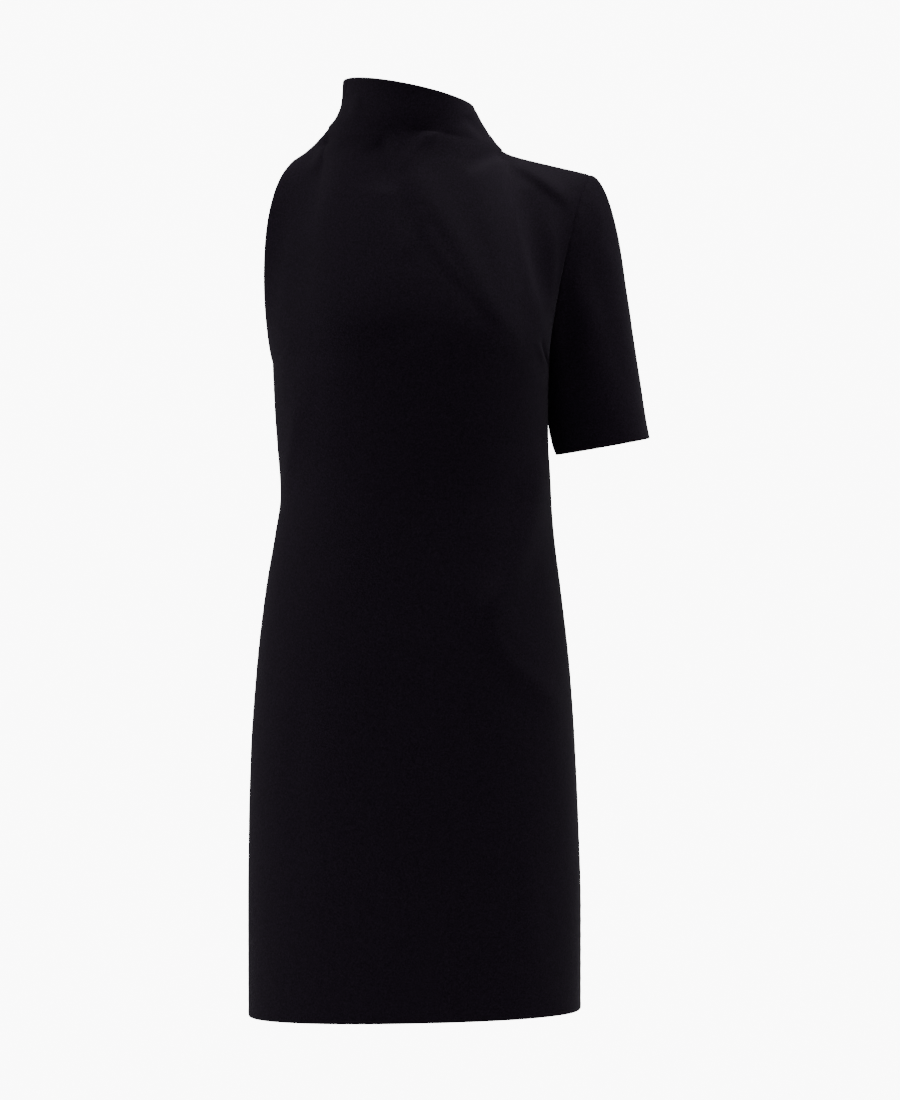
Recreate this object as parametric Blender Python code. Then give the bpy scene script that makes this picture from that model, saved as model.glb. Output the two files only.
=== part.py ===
"""A black mini dress with one short sleeve and a funnel neck cut in one with its body.

Metres, +Z up. The dress faces -Y and the wearer's left, with the sleeve, is +X. The origin is the
middle of the neck's base on the shoulder line, where the wearer holds the dress up.
"""

import math
from collections import namedtuple

import bmesh
import bpy
from mathutils import Matrix, Vector

MM = 0.001

# Cloth and seams
CLOTH = 1.6 * MM
SEAM_GAP = 0.3 * MM
NAP_BLACK = (0.012, 0.011, 0.014, 1.0)

# Grid of the body: rows up, columns across each half from side seam to side seam
SKIRT_ROWS = 22
YOKE_ROWS = 12
NECK_ROWS = 7
COLUMNS = 28
NECK_SHARE = 0.5

# Heights of the body, from the neck's base
HEM_Z = -889 * MM
HEM_TILT = 0.0205
UNDERARM_Z = -217 * MM
SLOPE_STEP = 20 * MM
HIP_Z = -560 * MM

# Roundness of a level section: 2 is an ellipse, more is squarer
SQUARE = 2.3

Section = namedtuple("Section", "z right left front back")
SECTIONS = [
    Section(-900, 173.2, 170.5, 117.0, 116.0),
    Section(-786, 173.4, 170.5, 117.0, 118.5),
    Section(-703, 172.5, 168.2, 117.0, 120.5),
    Section(-621, 170.5, 164.7, 117.0, 121.5),
    Section(-539, 165.0, 159.3, 116.0, 119.5),
    Section(-456, 155.5, 150.0, 113.0, 111.0),
    Section(-395, 145.2, 142.3, 108.0, 100.0),
    Section(-353, 139.6, 139.0, 105.0, 93.0),
    Section(-302, 143.2, 136.8, 109.0, 90.0),
    Section(-261, 146.0, 136.3, 117.0, 91.5),
    Section(-217, 148.0, 138.0, 126.0, 95.0),
]

# Bust, shaped by the darts
BUST_X = 84 * MM
BUST_Z = -196 * MM
BUST_SPREAD = 40 * MM
BUST_RISE = 6 * MM

# Where the shoulder seams end
Point = namedtuple("Point", "x y z")
NECK_POINT_RIGHT = Point(-90, 2, 27)
NECK_POINT_LEFT = Point(89, 2, 3)
TIP_RIGHT = Point(-124, 0, -6)
TIP_LEFT = Point(180, 0, -22)
SAG_RIGHT = 3.0
SAG_LEFT = 3.5
SAG_LEFT_REACH = 0.09

# How far the cloth below the neck's corners is rounded, as a share of a half of the body
CORNER_SOFT = 0.14
CORNER_STEPS = 8

# How each column of the grid runs from the underarm level up to the neck and shoulders: how far it
# keeps the slope of the body below, how far it is pulled aside there, and where it comes from above
Pull = namedtuple("Pull", "share rise low_x low_y top_x top_y top_z")
FRONT_RIGHT = [
    Pull(0.00, 66, 0, 0, 0, -24, -56),
    Pull(0.25, 66, 0, 0, -1, -34, -53),
    Pull(0.50, 66, 0, 0, -4, -58, -46),
    Pull(0.75, 52, -4, -18, -16, -54, -36),
    Pull(1.00, 10, -4, -48, -47, -58, -41),
]
FRONT_LEFT = [
    Pull(0.00, 66, 0, 0, 0, -24, -56),
    Pull(0.25, 66, 0, 0, 1, -34, -50),
    Pull(0.50, 66, 0, 0, 4, -60, -36),
    Pull(0.75, 52, -2, -18, 0, -52, -32),
    Pull(1.00, 8, -5, -50, -22, -50, -42),
]
BACK_RIGHT = [
    Pull(0.00, 76, 0, 0, 0, 20, -52),
    Pull(0.25, 74, 0, 0, -1, 28, -48),
    Pull(0.50, 70, 0, 0, -4, 50, -40),
    Pull(0.75, 54, 2, 16, -10, 48, -30),
    Pull(1.00, 10, 8, 48, -22, 44, -44),
]
BACK_LEFT = [
    Pull(0.00, 76, 0, 0, 0, 20, -52),
    Pull(0.25, 74, 0, 0, 1, 28, -46),
    Pull(0.50, 70, 0, 0, 4, 52, -34),
    Pull(0.75, 54, 0, 16, 0, 50, -28),
    Pull(1.00, 8, 2, 52, -14, 48, -38),
]

# The largest folds of the worn cloth, seen from the front: each runs from one place to another
Fold = namedtuple("Fold", "side from_x from_z to_x to_z high wide")
FOLDS = [
    Fold("front", 62, -20, 96, -150, 3.0, 15),
    Fold("front", 10, -45, 100, -205, 2.6, 16),
    Fold("front", 142, -95, 141, -190, 2.5, 13),
    Fold("front", 133, -330, 78, -465, 4.0, 17),
    Fold("front", 78, -465, 140, -560, 3.0, 18),
    Fold("front", -128, -215, -20, -200, -3.5, 15),
    Fold("front", -122, -270, -140, -360, 2.2, 14),
    Fold("back", -120, -300, -30, -330, 3.5, 16),
    Fold("back", 120, -315, 40, -340, 3.5, 16),
    Fold("back", -95, -40, -104, -170, 2.5, 16),
    Fold("back", 98, -50, 110, -190, 2.5, 16),
]

FOLD_FADE = 24 * MM

# Funnel neck: its base, its top edge, and how its cloth leaves the one and reaches the other
BASE_CENTRE = Vector((-0.5, 2, 15)) * MM
BASE_HALF_WIDTH = 89.5 * MM
BASE_FRONT = 66 * MM
BASE_BACK = 64 * MM
BASE_SLOPE = 12 * MM
BASE_RISE = {"front": 2 * MM, "back": 6 * MM}
TOP_CENTRE_X = -7.5 * MM
TOP_CENTRE_Y = -11 * MM
TOP_HALF_WIDTH = 67.5 * MM
TOP_HALF_DEPTH = 59 * MM
TOP_Z = 58.5 * MM
TOP_SLOPE = 13.5 * MM
TOP_RISE = {"front": 5 * MM, "back": 3 * MM}
SEAM_TURN = math.radians(22)
NECK_LEAVING = Vector((-12.5, 5, 13)) * MM
NECK_ARRIVING = Vector((3.2, -2, -16)) * MM
NECK_LEFT_FLARE = 4.8 * MM

# Sleeve
CUFF_CENTRE = Vector((194, 14, -303.5)) * MM
CUFF_ACROSS = Vector((98, 0, 17.4)) * MM
CUFF_HALF_DEPTH = 51 * MM
ARM_DROP = Vector((0.19, 0.03, -0.98))
CAP_DROOP = 0.22
CAP_ROUND = 0.8
Handles = namedtuple("Handles", "underarm shoulder")
LEAVE_ARMHOLE = Handles(7 * MM, 34 * MM)
REACH_CUFF = Handles(34 * MM, 120 * MM)
SLEEVE_ROWS = 10

# Zip, concealed in the centre back seam: its tape lies inside, its slider and pull show at the top
TAPE = 1.0 * MM
TAPE_GAP = 0.6 * MM
TAPE_HALF_WIDTH = 12 * MM
TAPE_LOW_ROW = 14
SLIDER_DROP = 6 * MM
SLIDER_GAP = 0.45 * MM
PLATE_WIDE = 6.4 * MM
PLATE_THICK = 1.2 * MM
PLATE_TALL = 8 * MM
ARCH_WIDE = 1.8 * MM
Corner = namedtuple("Corner", "along high")
ARCH_OUTSIDE = [
    Corner(-3.4, -0.4),
    Corner(3.4, -0.4),
    Corner(3.4, 1.8),
    Corner(2.4, 3.0),
    Corner(-2.4, 3.0),
    Corner(-3.4, 1.8),
]
ARCH_WINDOW = [
    Corner(-2.4, -0.2),
    Corner(2.4, -0.2),
    Corner(2.4, 1.6),
    Corner(1.8, 2.2),
    Corner(-1.8, 2.2),
    Corner(-2.4, 1.6),
]

# The pull turns on its own cross bar, which lies in the lower end of the slider's arch
PIVOT_ALONG = -1.3 * MM
PIVOT_HIGH = 1.1 * MM
PULL_THICK = 1.1 * MM
PULL_LONG = 27 * MM
PULL_CLEAR = 0.5 * MM
Width = namedtuple("Width", "down half")
PULL_OUTLINE = [
    Width(-0.55, 1.7),
    Width(0.2, 2.2),
    Width(5.0, 2.2),
    Width(9.0, 1.4),
    Width(14.0, 1.5),
    Width(20.0, 2.3),
    Width(24.0, 2.5),
    Width(26.2, 1.8),
    Width(27.0, 0.7),
]
PULL_WINDOW = [Width(0.55, 1.3), Width(5.4, 1.3)]
METAL_BLACK = (0.03, 0.03, 0.032, 1.0)


def lerp(a, b, share):
    return a + (b - a) * share


def smooth_read(rows, along, name, at):
    """Reads a column of a table between its rows, on a smooth curve with no overshoot."""
    xs = [getattr(row, along) for row in rows]
    ys = [getattr(row, name) for row in rows]
    if at <= xs[0]:
        return ys[0]
    if at >= xs[-1]:
        return ys[-1]
    steps = [(ys[i + 1] - ys[i]) / (xs[i + 1] - xs[i]) for i in range(len(xs) - 1)]
    slopes = [steps[0]] + [0.0] * (len(xs) - 2) + [steps[-1]]
    for i in range(1, len(xs) - 1):
        if steps[i - 1] * steps[i] > 0:
            slopes[i] = 2 * steps[i - 1] * steps[i] / (steps[i - 1] + steps[i])
    i = max(n for n in range(len(xs) - 1) if xs[n] <= at)
    width = xs[i + 1] - xs[i]
    s = (at - xs[i]) / width
    return (
        (1 + 2 * s) * (1 - s) ** 2 * ys[i]
        + s * (1 - s) ** 2 * width * slopes[i]
        + s * s * (3 - 2 * s) * ys[i + 1]
        + s * s * (s - 1) * width * slopes[i + 1]
    )


def bezier(start, leaving, arriving, end, s):
    """A point of the curve from start to end, pulled by the leaving and arriving offsets."""
    r = 1 - s
    return (
        start * r**3
        + (start + leaving) * 3 * s * r * r
        + (end + arriving) * 3 * s * s * r
        + end * s**3
    )


def signed_power(value, power):
    return math.copysign(abs(value) ** power, value)


def level_point(z, t, side):
    """The body's section at height z: t runs from -1 at the right seam to 1 at the left one."""
    at = z / MM
    angle = t * math.pi / 2
    half = "left" if t > 0 else "right"
    x = smooth_read(SECTIONS, "z", half, at) * signed_power(math.sin(angle), 2 / SQUARE)
    depth = smooth_read(SECTIONS, "z", side, at) * max(0.0, math.cos(angle)) ** (2 / SQUARE)
    return Vector((x * MM, (-depth if side == "front" else depth) * MM, z))


def skirt_point(row, t, side):
    """A point between the hem and the underarm level."""
    z = lerp(HEM_Z, UNDERARM_Z, row / SKIRT_ROWS)
    point = level_point(z, t, side)
    fade = min(1.0, max(0.0, (HIP_Z - z) / (HIP_Z - HEM_Z)))
    point.z += HEM_TILT * point.x * fade
    return point


def neck_base(t, side):
    """The neck's base: t is -0.5 at the right shoulder seam and 0.5 at the left one."""
    across, along = math.sin(t * math.pi), math.cos(t * math.pi)
    deep = -BASE_FRONT if side == "front" else BASE_BACK
    rise = BASE_RISE[side] * along - BASE_SLOPE * across
    return BASE_CENTRE + Vector((BASE_HALF_WIDTH * across, deep * along, rise))


def shoulder_point(t):
    """A point of the shoulder seam, from the neck out to the shoulder's tip."""
    out = (abs(t) - NECK_SHARE) / (1 - NECK_SHARE)
    if t < 0:
        near, tip, sag = NECK_POINT_RIGHT, TIP_RIGHT, SAG_RIGHT * math.sin(math.pi * out)
    else:
        near, tip = NECK_POINT_LEFT, TIP_LEFT
        sag = SAG_LEFT * (1 - out) * (1 - math.exp(-out / SAG_LEFT_REACH))
    return Vector([lerp(a, b, out) for a, b in zip(near, tip)]) * MM - Vector((0, 0, sag * MM))


def yoke_top(t, side):
    return neck_base(t, side) if abs(t) <= NECK_SHARE else shoulder_point(t)


def rounded_top(t, side):
    """The yoke's top edge with its corner at the neck rounded off."""
    room = max(0.0, min(CORNER_SOFT, 1 - abs(t)))
    near = [yoke_top(t + room * step / CORNER_STEPS, side) for step in range(-CORNER_STEPS, CORNER_STEPS + 1)]
    return sum(near, Vector((0, 0, 0))) / len(near)


def yoke_point(row, t, side):
    """A point between the underarm level and the shoulder seams and neck's base."""
    table = {
        ("front", True): FRONT_LEFT,
        ("front", False): FRONT_RIGHT,
        ("back", True): BACK_LEFT,
        ("back", False): BACK_RIGHT,
    }[side, t > 0]
    pull = Pull(*[smooth_read(table, "share", name, abs(t)) * MM for name in Pull._fields])
    start = level_point(UNDERARM_Z, t, side)
    slope = (start - level_point(UNDERARM_Z - SLOPE_STEP, t, side)) / SLOPE_STEP
    leaving = slope * pull.rise + Vector((pull.low_x, pull.low_y, 0))
    top = yoke_top(t, side)
    arriving = Vector((pull.top_x, pull.top_y, pull.top_z)) + rounded_top(t, side) - top
    return bezier(start, leaving, arriving, top, row / YOKE_ROWS)


def neck_top(t, side):
    """The funnel's top edge, which slopes down to the wearer's left."""
    angle = t * math.pi
    turned = angle + SEAM_TURN * (0.5 - t) if side == "front" else angle - SEAM_TURN * (0.5 - t) ** 3
    forward = math.cos(turned) if side == "front" else -math.cos(turned)
    rise = TOP_RISE["front"] * max(0.0, forward) + TOP_RISE["back"] * max(0.0, -forward)
    return Vector(
        (
            TOP_CENTRE_X + TOP_HALF_WIDTH * math.sin(turned),
            TOP_CENTRE_Y - TOP_HALF_DEPTH * forward,
            TOP_Z - TOP_SLOPE * math.sin(turned) + rise,
        )
    )


def scaled(offset, across, along):
    return Vector((offset.x * across, offset.y * along, offset.z))


def neck_point(row, t, side):
    """A point of the funnel between its base and its top edge."""
    angle = t * math.pi
    across, along = math.sin(angle), math.cos(angle)
    out = -1 if side == "front" else 1
    leaving = scaled(NECK_LEAVING, across, out * along)
    arriving = scaled(NECK_ARRIVING, abs(across), out * along)
    arriving.x += NECK_LEFT_FLARE * across * abs(across)
    return bezier(neck_base(t, side), leaving, arriving, neck_top(t, side), row / NECK_ROWS)


def bust_rise(point):
    """How far the bust pushes the front out at a point."""
    dz = point.z - BUST_Z
    return sum(
        BUST_RISE * math.exp(-((point.x - x) ** 2 + dz * dz) / (2 * BUST_SPREAD**2))
        for x in (-BUST_X, BUST_X)
    )


def fold_rise(point, side):
    """How far the folds lift the cloth at a point, fading out towards both of their ends."""
    lift = 0.0
    for fold in FOLDS:
        if fold.side != side:
            continue
        run = Vector((fold.to_x - fold.from_x, fold.to_z - fold.from_z)) * MM
        reach = Vector((point.x, point.z)) - Vector((fold.from_x, fold.from_z)) * MM
        along = reach.dot(run) / run.length_squared
        aside = abs(reach.x * run.y - reach.y * run.x) / run.length
        past = max(0.0, -along, along - 1) * run.length
        fade = math.exp(-((past / FOLD_FADE) ** 2))
        lift += fold.high * MM * math.exp(-((aside / (fold.wide * MM)) ** 2)) * fade
    return lift


def body_point(row, column, side):
    """The outer face of the body at a row and column of its grid."""
    t = 2 * column / COLUMNS - 1
    if row <= SKIRT_ROWS:
        point = skirt_point(row, t, side)
    elif row <= SKIRT_ROWS + YOKE_ROWS:
        point = yoke_point(row - SKIRT_ROWS, t, side)
    else:
        point = neck_point(row - SKIRT_ROWS - YOKE_ROWS, t, side)
    lift = fold_rise(point, side)
    if side == "front":
        lift += bust_rise(point)
    out = -1 if side == "front" else 1
    point.y += out * lift * max(0.0, math.cos(t * math.pi / 2)) ** 0.5
    return point


def body_keys():
    """Every place of the grid that holds cloth, for one side."""
    neck_from = round(COLUMNS * (1 - NECK_SHARE) / 2)
    rows = SKIRT_ROWS + YOKE_ROWS + NECK_ROWS
    return [
        (row, column)
        for row in range(rows + 1)
        for column in range(COLUMNS + 1)
        if row <= SKIRT_ROWS + YOKE_ROWS or neck_from <= column <= COLUMNS - neck_from
    ]


def cells_of(keys):
    """The grid's cells whose four corners are all in keys."""
    held = set(keys)
    cells = [[(r, c), (r, c + 1), (r + 1, c + 1), (r + 1, c)] for r, c in keys]
    return [cell for cell in cells if held.issuperset(cell)]


def shared_key(row, column, side):
    """One name for a place where the front and the back meet."""
    neck_from = round(COLUMNS * (1 - NECK_SHARE) / 2)
    on_side = column in (0, COLUMNS) and row <= SKIRT_ROWS
    on_neck = column in (neck_from, COLUMNS - neck_from) and row >= SKIRT_ROWS + YOKE_ROWS
    on_shoulder = row == SKIRT_ROWS + YOKE_ROWS and not neck_from < column < COLUMNS - neck_from
    return (row, column, "seam" if on_side or on_neck or on_shoulder else side)


def body_field():
    """The body's outer points and the directions that its cloth faces, by row, column and side."""
    mesh = bmesh.new()
    made = {}
    for side in ("front", "back"):
        for row, column in body_keys():
            key = shared_key(row, column, side)
            if key not in made:
                made[key] = mesh.verts.new(body_point(row, column, side))
    for side in ("front", "back"):
        for cell in cells_of(body_keys()):
            corners = [made[shared_key(r, c, side)] for r, c in cell]
            mesh.faces.new(corners if side == "front" else corners[::-1])
    mesh.normal_update()
    field = {
        (row, column, side): (
            made[shared_key(row, column, side)].co.copy(),
            made[shared_key(row, column, side)].normal.copy(),
        )
        for side in ("front", "back")
        for row, column in body_keys()
    }
    mesh.free()
    return field


def make_material(name, colour, roughness, metallic=0.0):
    material = bpy.data.materials.new(name)
    material.use_nodes = True
    shader = material.node_tree.nodes["Principled BSDF"]
    shader.inputs["Base Color"].default_value = colour
    shader.inputs["Roughness"].default_value = roughness
    shader.inputs["Metallic"].default_value = metallic
    return material


def add_object(name, mesh, material, collection):
    mesh.materials.append(material)
    made = bpy.data.objects.new(name, mesh)
    collection.objects.link(made)
    return made


def make_wall(name, outer, inner, cells, material, collection):
    """A closed wall of cloth between an outer and an inner face that share a grid."""
    mesh = bmesh.new()
    outside = {key: mesh.verts.new(point) for key, point in outer.items()}
    inside = {key: mesh.verts.new(point) for key, point in inner.items()}
    edges = {}
    for cell in cells:
        mesh.faces.new([outside[key] for key in cell])
        mesh.faces.new([inside[key] for key in reversed(cell)])
        for a, b in zip(cell, cell[1:] + cell[:1]):
            edges[a, b] = True
    for a, b in edges:
        if (b, a) not in edges:
            mesh.faces.new([outside[b], outside[a], inside[a], inside[b]])
    data = bpy.data.meshes.new(name)
    mesh.to_mesh(data)
    mesh.free()
    data.shade_smooth()
    data.set_sharp_from_angle(angle=math.radians(40))
    return add_object(name, data, material, collection)


def panel(name, field, side, columns, material, collection):
    """One cut piece of the body. Its seamed edges stand half a seam gap back."""
    keys = [key for key in body_keys() if key[1] in columns]
    cells = cells_of(keys)
    used = {key for cell in cells for key in cell}
    outer, inner = {}, {}
    for row, column in used:
        point, facing = field[row, column, side]
        pulled = point + seam_pull(row, column, side, columns, used, field)
        outer[row, column] = pulled
        inner[row, column] = pulled - facing * CLOTH
    if side == "back":
        cells = [cell[::-1] for cell in cells]
    return make_wall(name, outer, inner, cells, material, collection)


def seam_pull(row, column, side, columns, used, field):
    """The small step away from a seam, towards the piece's own cloth."""
    here = field[row, column, side][0]
    pull = Vector((0, 0, 0))
    neck_from = round(COLUMNS * (1 - NECK_SHARE) / 2)
    edges = {columns[0]: 1, columns[-1]: -1}
    if row >= SKIRT_ROWS + YOKE_ROWS:
        edges.update({neck_from: 1, COLUMNS - neck_from: -1})
    armhole = column in (0, COLUMNS) and row > SKIRT_ROWS
    if column in edges and not armhole and (row, column + edges[column]) in used:
        pull += (field[row, column + edges[column], side][0] - here).normalized()
    at_shoulder = row == SKIRT_ROWS + YOKE_ROWS
    if at_shoulder and not neck_from < column < COLUMNS - neck_from:
        pull += (field[row - 1, column, side][0] - here).normalized()
    return pull * SEAM_GAP / 2


def armhole_loop(field):
    """The left armhole's edge: up the front from the underarm and down the back."""
    rows = range(SKIRT_ROWS, SKIRT_ROWS + YOKE_ROWS + 1)
    front = [field[row, COLUMNS, "front"][0] for row in rows]
    back = [field[row, COLUMNS, "back"][0] for row in rows]
    return front + back[-2:0:-1]


def sleeve_start(loop, index):
    """The way in which the sleeve leaves the armhole: outwards, and down over the shoulder."""
    raised = math.sin(math.pi * index / len(loop)) ** 2
    return Vector((1.0, 0.0, -CAP_DROOP * raised)).normalized()


def sleeve_point(loop, index, row):
    """A point of the sleeve: index goes round from the underarm, row from armhole to cuff."""
    angle = 2 * math.pi * index / len(loop)
    outward = sleeve_start(loop, index)
    start = loop[index % len(loop)] + outward * SEAM_GAP
    end = CUFF_CENTRE - CUFF_ACROSS / 2 * math.cos(angle)
    end.y -= CUFF_HALF_DEPTH * math.sin(angle)
    raised = (1 - math.cos(angle)) / 2
    leaving = outward * lerp(LEAVE_ARMHOLE.underarm, LEAVE_ARMHOLE.shoulder, raised**CAP_ROUND)
    arriving = ARM_DROP * -lerp(REACH_CUFF.underarm, REACH_CUFF.shoulder, raised)
    return bezier(start, leaving, arriving, end, row / SLEEVE_ROWS)


def make_sleeve(field, material, collection):
    loop = armhole_loop(field)
    around = len(loop)
    surface = bmesh.new()
    made = {
        (row, index): surface.verts.new(sleeve_point(loop, index, row))
        for row in range(SLEEVE_ROWS + 1)
        for index in range(around)
    }
    cells = []
    for row in range(SLEEVE_ROWS):
        for index in range(around):
            after = (index + 1) % around
            cells.append([(row, index), (row + 1, index), (row + 1, after), (row, after)])
    for cell in cells:
        surface.faces.new([made[key] for key in cell])
    surface.normal_update()
    outer = {key: vert.co.copy() for key, vert in made.items()}
    inner = {}
    for key, vert in made.items():
        across = vert.normal.copy()
        if key[0] == 0:
            across.x = 0
        inner[key] = vert.co - across.normalized() * CLOTH
    surface.free()
    return make_wall("sleeve_left", outer, inner, cells, material, collection)


def seam_point(drop):
    """A place on the centre back seam at a drop from the neck, and the seam's upward run there."""
    middle = COLUMNS // 2
    row = SKIRT_ROWS + YOKE_ROWS + NECK_ROWS
    high = body_point(row, middle, "back")
    while True:
        low = body_point(row - 1, middle, "back")
        step = (high - low).length
        if drop <= step:
            return high.lerp(low, drop / step), (high - low).normalized()
        drop -= step
        high = low
        row -= 1


def lean_of(run):
    """How far a run of the back seam leans forward of upright, as a turn about X."""
    return math.atan2(-run.y, run.z)


def outward_of(lean):
    return Vector((0, math.cos(lean), math.sin(lean)))


def slider_frame():
    """Where the slider's plate sits on the seam: its middle and its lean."""
    high, _ = seam_point(SLIDER_DROP - PLATE_TALL / 2)
    low, _ = seam_point(SLIDER_DROP + PLATE_TALL / 2)
    lean = lean_of(high - low)
    return (high + low) / 2 + outward_of(lean) * SLIDER_GAP, lean


def pull_frame():
    """The middle of the pull's cross bar, and the lean at which its end lies on the cloth."""
    seat, lean = slider_frame()
    upward = Vector((0, -math.sin(lean), math.cos(lean)))
    pivot = seat + upward * PIVOT_ALONG + outward_of(lean) * (PLATE_THICK + PIVOT_HIGH)
    end, run = seam_point(SLIDER_DROP - PIVOT_ALONG + PULL_LONG)
    end += outward_of(lean_of(run)) * (PULL_CLEAR + PULL_THICK / 2)
    return pivot, lean_of(pivot - end)


def make_zip_tape(field, material, collection):
    """One strip behind the centre back seam, made from the points of the cloth that it lies on."""
    middle = COLUMNS // 2
    rows = range(TAPE_LOW_ROW, SKIRT_ROWS + YOKE_ROWS + NECK_ROWS)
    outer, inner = {}, {}
    for row in rows:
        here, facing = field[row, middle, "back"]
        for place, column in enumerate((middle - 1, middle, middle + 1)):
            beside, other = field[row, column, "back"]
            reach = (beside - here).length
            share = TAPE_HALF_WIDTH / reach if reach else 0.0
            cloth = here.lerp(beside, share)
            way = facing.lerp(other, share).normalized()
            inner[row, place] = cloth - way * (CLOTH + TAPE_GAP)
            outer[row, place] = cloth - way * (CLOTH + TAPE_GAP + TAPE)
    cells = cells_of(list(outer))
    return make_wall("zip_tape", outer, inner, cells, material, collection)


def flat_outline(name, rings, thickness):
    """A flat piece in its own XY plane: its first ring is its edge, the others are its holes."""
    curve = bpy.data.curves.new(name, "CURVE")
    curve.dimensions = "2D"
    curve.fill_mode = "BOTH"
    curve.extrude = thickness / 2
    for ring in rings:
        spline = curve.splines.new("POLY")
        spline.points.add(len(ring) - 1)
        for point, (x, y) in zip(spline.points, ring):
            point.co = (x, y, 0, 1)
        spline.use_cyclic_u = True
    return curve


def solid_from_curve(curve):
    """A closed mesh of a flat curve, with its caps welded on."""
    holder = bpy.data.objects.new("outline", curve)
    bpy.context.scene.collection.objects.link(holder)
    graph = bpy.context.evaluated_depsgraph_get()
    data = bpy.data.meshes.new_from_object(holder.evaluated_get(graph))
    bpy.data.objects.remove(holder)
    bpy.data.curves.remove(curve)
    mesh = bmesh.new()
    mesh.from_mesh(data)
    bmesh.ops.remove_doubles(mesh, verts=mesh.verts, dist=0.001 * MM)
    bmesh.ops.recalc_face_normals(mesh, faces=mesh.faces)
    mesh.to_mesh(data)
    mesh.free()
    return data


def make_zip_slider(material, collection, cutters):
    """The slider's plate with the arch that holds the pull."""
    seat, lean = slider_frame()
    plate = bmesh.new()
    size = Matrix.Diagonal((PLATE_WIDE, PLATE_THICK, PLATE_TALL, 1))
    lift = Matrix.Translation((0, PLATE_THICK / 2, 0))
    bmesh.ops.create_cube(plate, size=1, matrix=lift @ size)
    data = bpy.data.meshes.new("zip_slider")
    plate.to_mesh(data)
    plate.free()
    slider = add_object("zip_slider", data, material, collection)
    rings = [
        [(corner.along * MM, corner.high * MM) for corner in ring]
        for ring in (ARCH_OUTSIDE, ARCH_WINDOW)
    ]
    arch_data = solid_from_curve(flat_outline("arch", rings, ARCH_WIDE))
    stand = Matrix(((0, 0, -1, 0), (0, 1, 0, PLATE_THICK), (1, 0, 0, 0), (0, 0, 0, 1)))
    arch_data.transform(stand)
    arch = add_object("zip_slider_arch", arch_data, material, cutters)
    arch.hide_render = True
    arch.display_type = "WIRE"
    union = slider.modifiers.new("arch", "BOOLEAN")
    union.operation = "UNION"
    union.object = arch
    for piece in (slider, arch):
        piece.location = seat
        piece.rotation_euler.x = lean
    return slider


def make_zip_pull(material, collection):
    """The pull tab. Its origin is on the line that it turns about."""
    pivot, lean = pull_frame()
    edge = [(width.half * MM, -width.down * MM) for width in PULL_OUTLINE]
    window = [(width.half * MM, -width.down * MM) for width in PULL_WINDOW]
    rings = [ring + [(-x, y) for x, y in reversed(ring)] for ring in (edge, window)]
    data = solid_from_curve(flat_outline("pull", rings, PULL_THICK))
    data.transform(Matrix.Rotation(math.radians(90), 4, "X"))
    pull = add_object("zip_pull", data, material, collection)
    pull.location = pivot
    pull.rotation_euler.x = lean
    return pull


def clear_scene():
    for old in list(bpy.data.objects):
        bpy.data.objects.remove(old)


def main():
    clear_scene()
    dress = bpy.data.collections.new("one_sleeve_dress")
    bpy.context.scene.collection.children.link(dress)
    cutters = bpy.data.collections.new("joined_shapes")
    bpy.context.scene.collection.children.link(cutters)
    cloth = make_material("black_crepe", NAP_BLACK, 0.85)
    tape = make_material("black_zip_tape", NAP_BLACK, 0.8)
    metal = make_material("black_lacquered_metal", METAL_BLACK, 0.35, 1.0)
    field = body_field()
    middle = COLUMNS // 2
    panel("front", field, "front", range(COLUMNS + 1), cloth, dress)
    panel("back_right", field, "back", range(middle + 1), cloth, dress)
    panel("back_left", field, "back", range(middle, COLUMNS + 1), cloth, dress)
    make_sleeve(field, cloth, dress)
    make_zip_tape(field, tape, dress)
    make_zip_slider(metal, dress, cutters)
    make_zip_pull(metal, dress)


main()
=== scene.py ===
"""The looks of a black crepe dress with one short sleeve and a funnel neck cut in one with its body.

Metres, +Z up. The dress faces -Y, and the wearer's left, with the sleeve, is +X.
"""

import math
from collections import namedtuple

import bmesh
import bpy
import numpy as np
from bpy.props import FloatProperty, FloatVectorProperty, IntProperty, PointerProperty
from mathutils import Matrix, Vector, noise


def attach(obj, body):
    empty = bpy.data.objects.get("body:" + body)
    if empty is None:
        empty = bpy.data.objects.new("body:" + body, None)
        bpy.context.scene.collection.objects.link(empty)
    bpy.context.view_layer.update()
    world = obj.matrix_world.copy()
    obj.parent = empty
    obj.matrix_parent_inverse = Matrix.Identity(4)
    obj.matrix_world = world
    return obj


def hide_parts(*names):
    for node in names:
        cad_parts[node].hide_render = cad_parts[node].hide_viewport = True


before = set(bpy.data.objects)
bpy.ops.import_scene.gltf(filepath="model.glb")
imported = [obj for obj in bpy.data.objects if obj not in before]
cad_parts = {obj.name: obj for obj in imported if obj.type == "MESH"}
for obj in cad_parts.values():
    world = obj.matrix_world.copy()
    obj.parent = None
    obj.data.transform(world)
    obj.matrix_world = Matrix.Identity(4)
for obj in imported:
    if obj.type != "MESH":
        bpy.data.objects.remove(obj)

bl_info = {
    "name": "One Sleeve Crepe Dress",
    "version": (1, 0, 0),
    "blender": (4, 5, 0),
    "location": "View3D > Sidebar > Dress",
    "description": "Makes a fitted crepe dress with one sleeve, a funnel neck and a concealed zip",
    "category": "Add Mesh",
}

MM = 0.001
DRESS = "dress"
TINY = 1e-12
WHITE = (1, 1, 1, 1)

# Body, with the sizes of the solids: grid rows of the solids, heights and level sections
YOKE_ROWS = 12
SKIRT_ROWS = 22
NECK_ROWS = 7
NECK_SHARE = 0.5
HEM_Z = -889 * MM
HEM_TILT = 0.0205
UNDERARM_Z = -217 * MM
SLOPE_STEP = 20 * MM
HIP_Z = -560 * MM
SQUARE = 2.3

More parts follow.
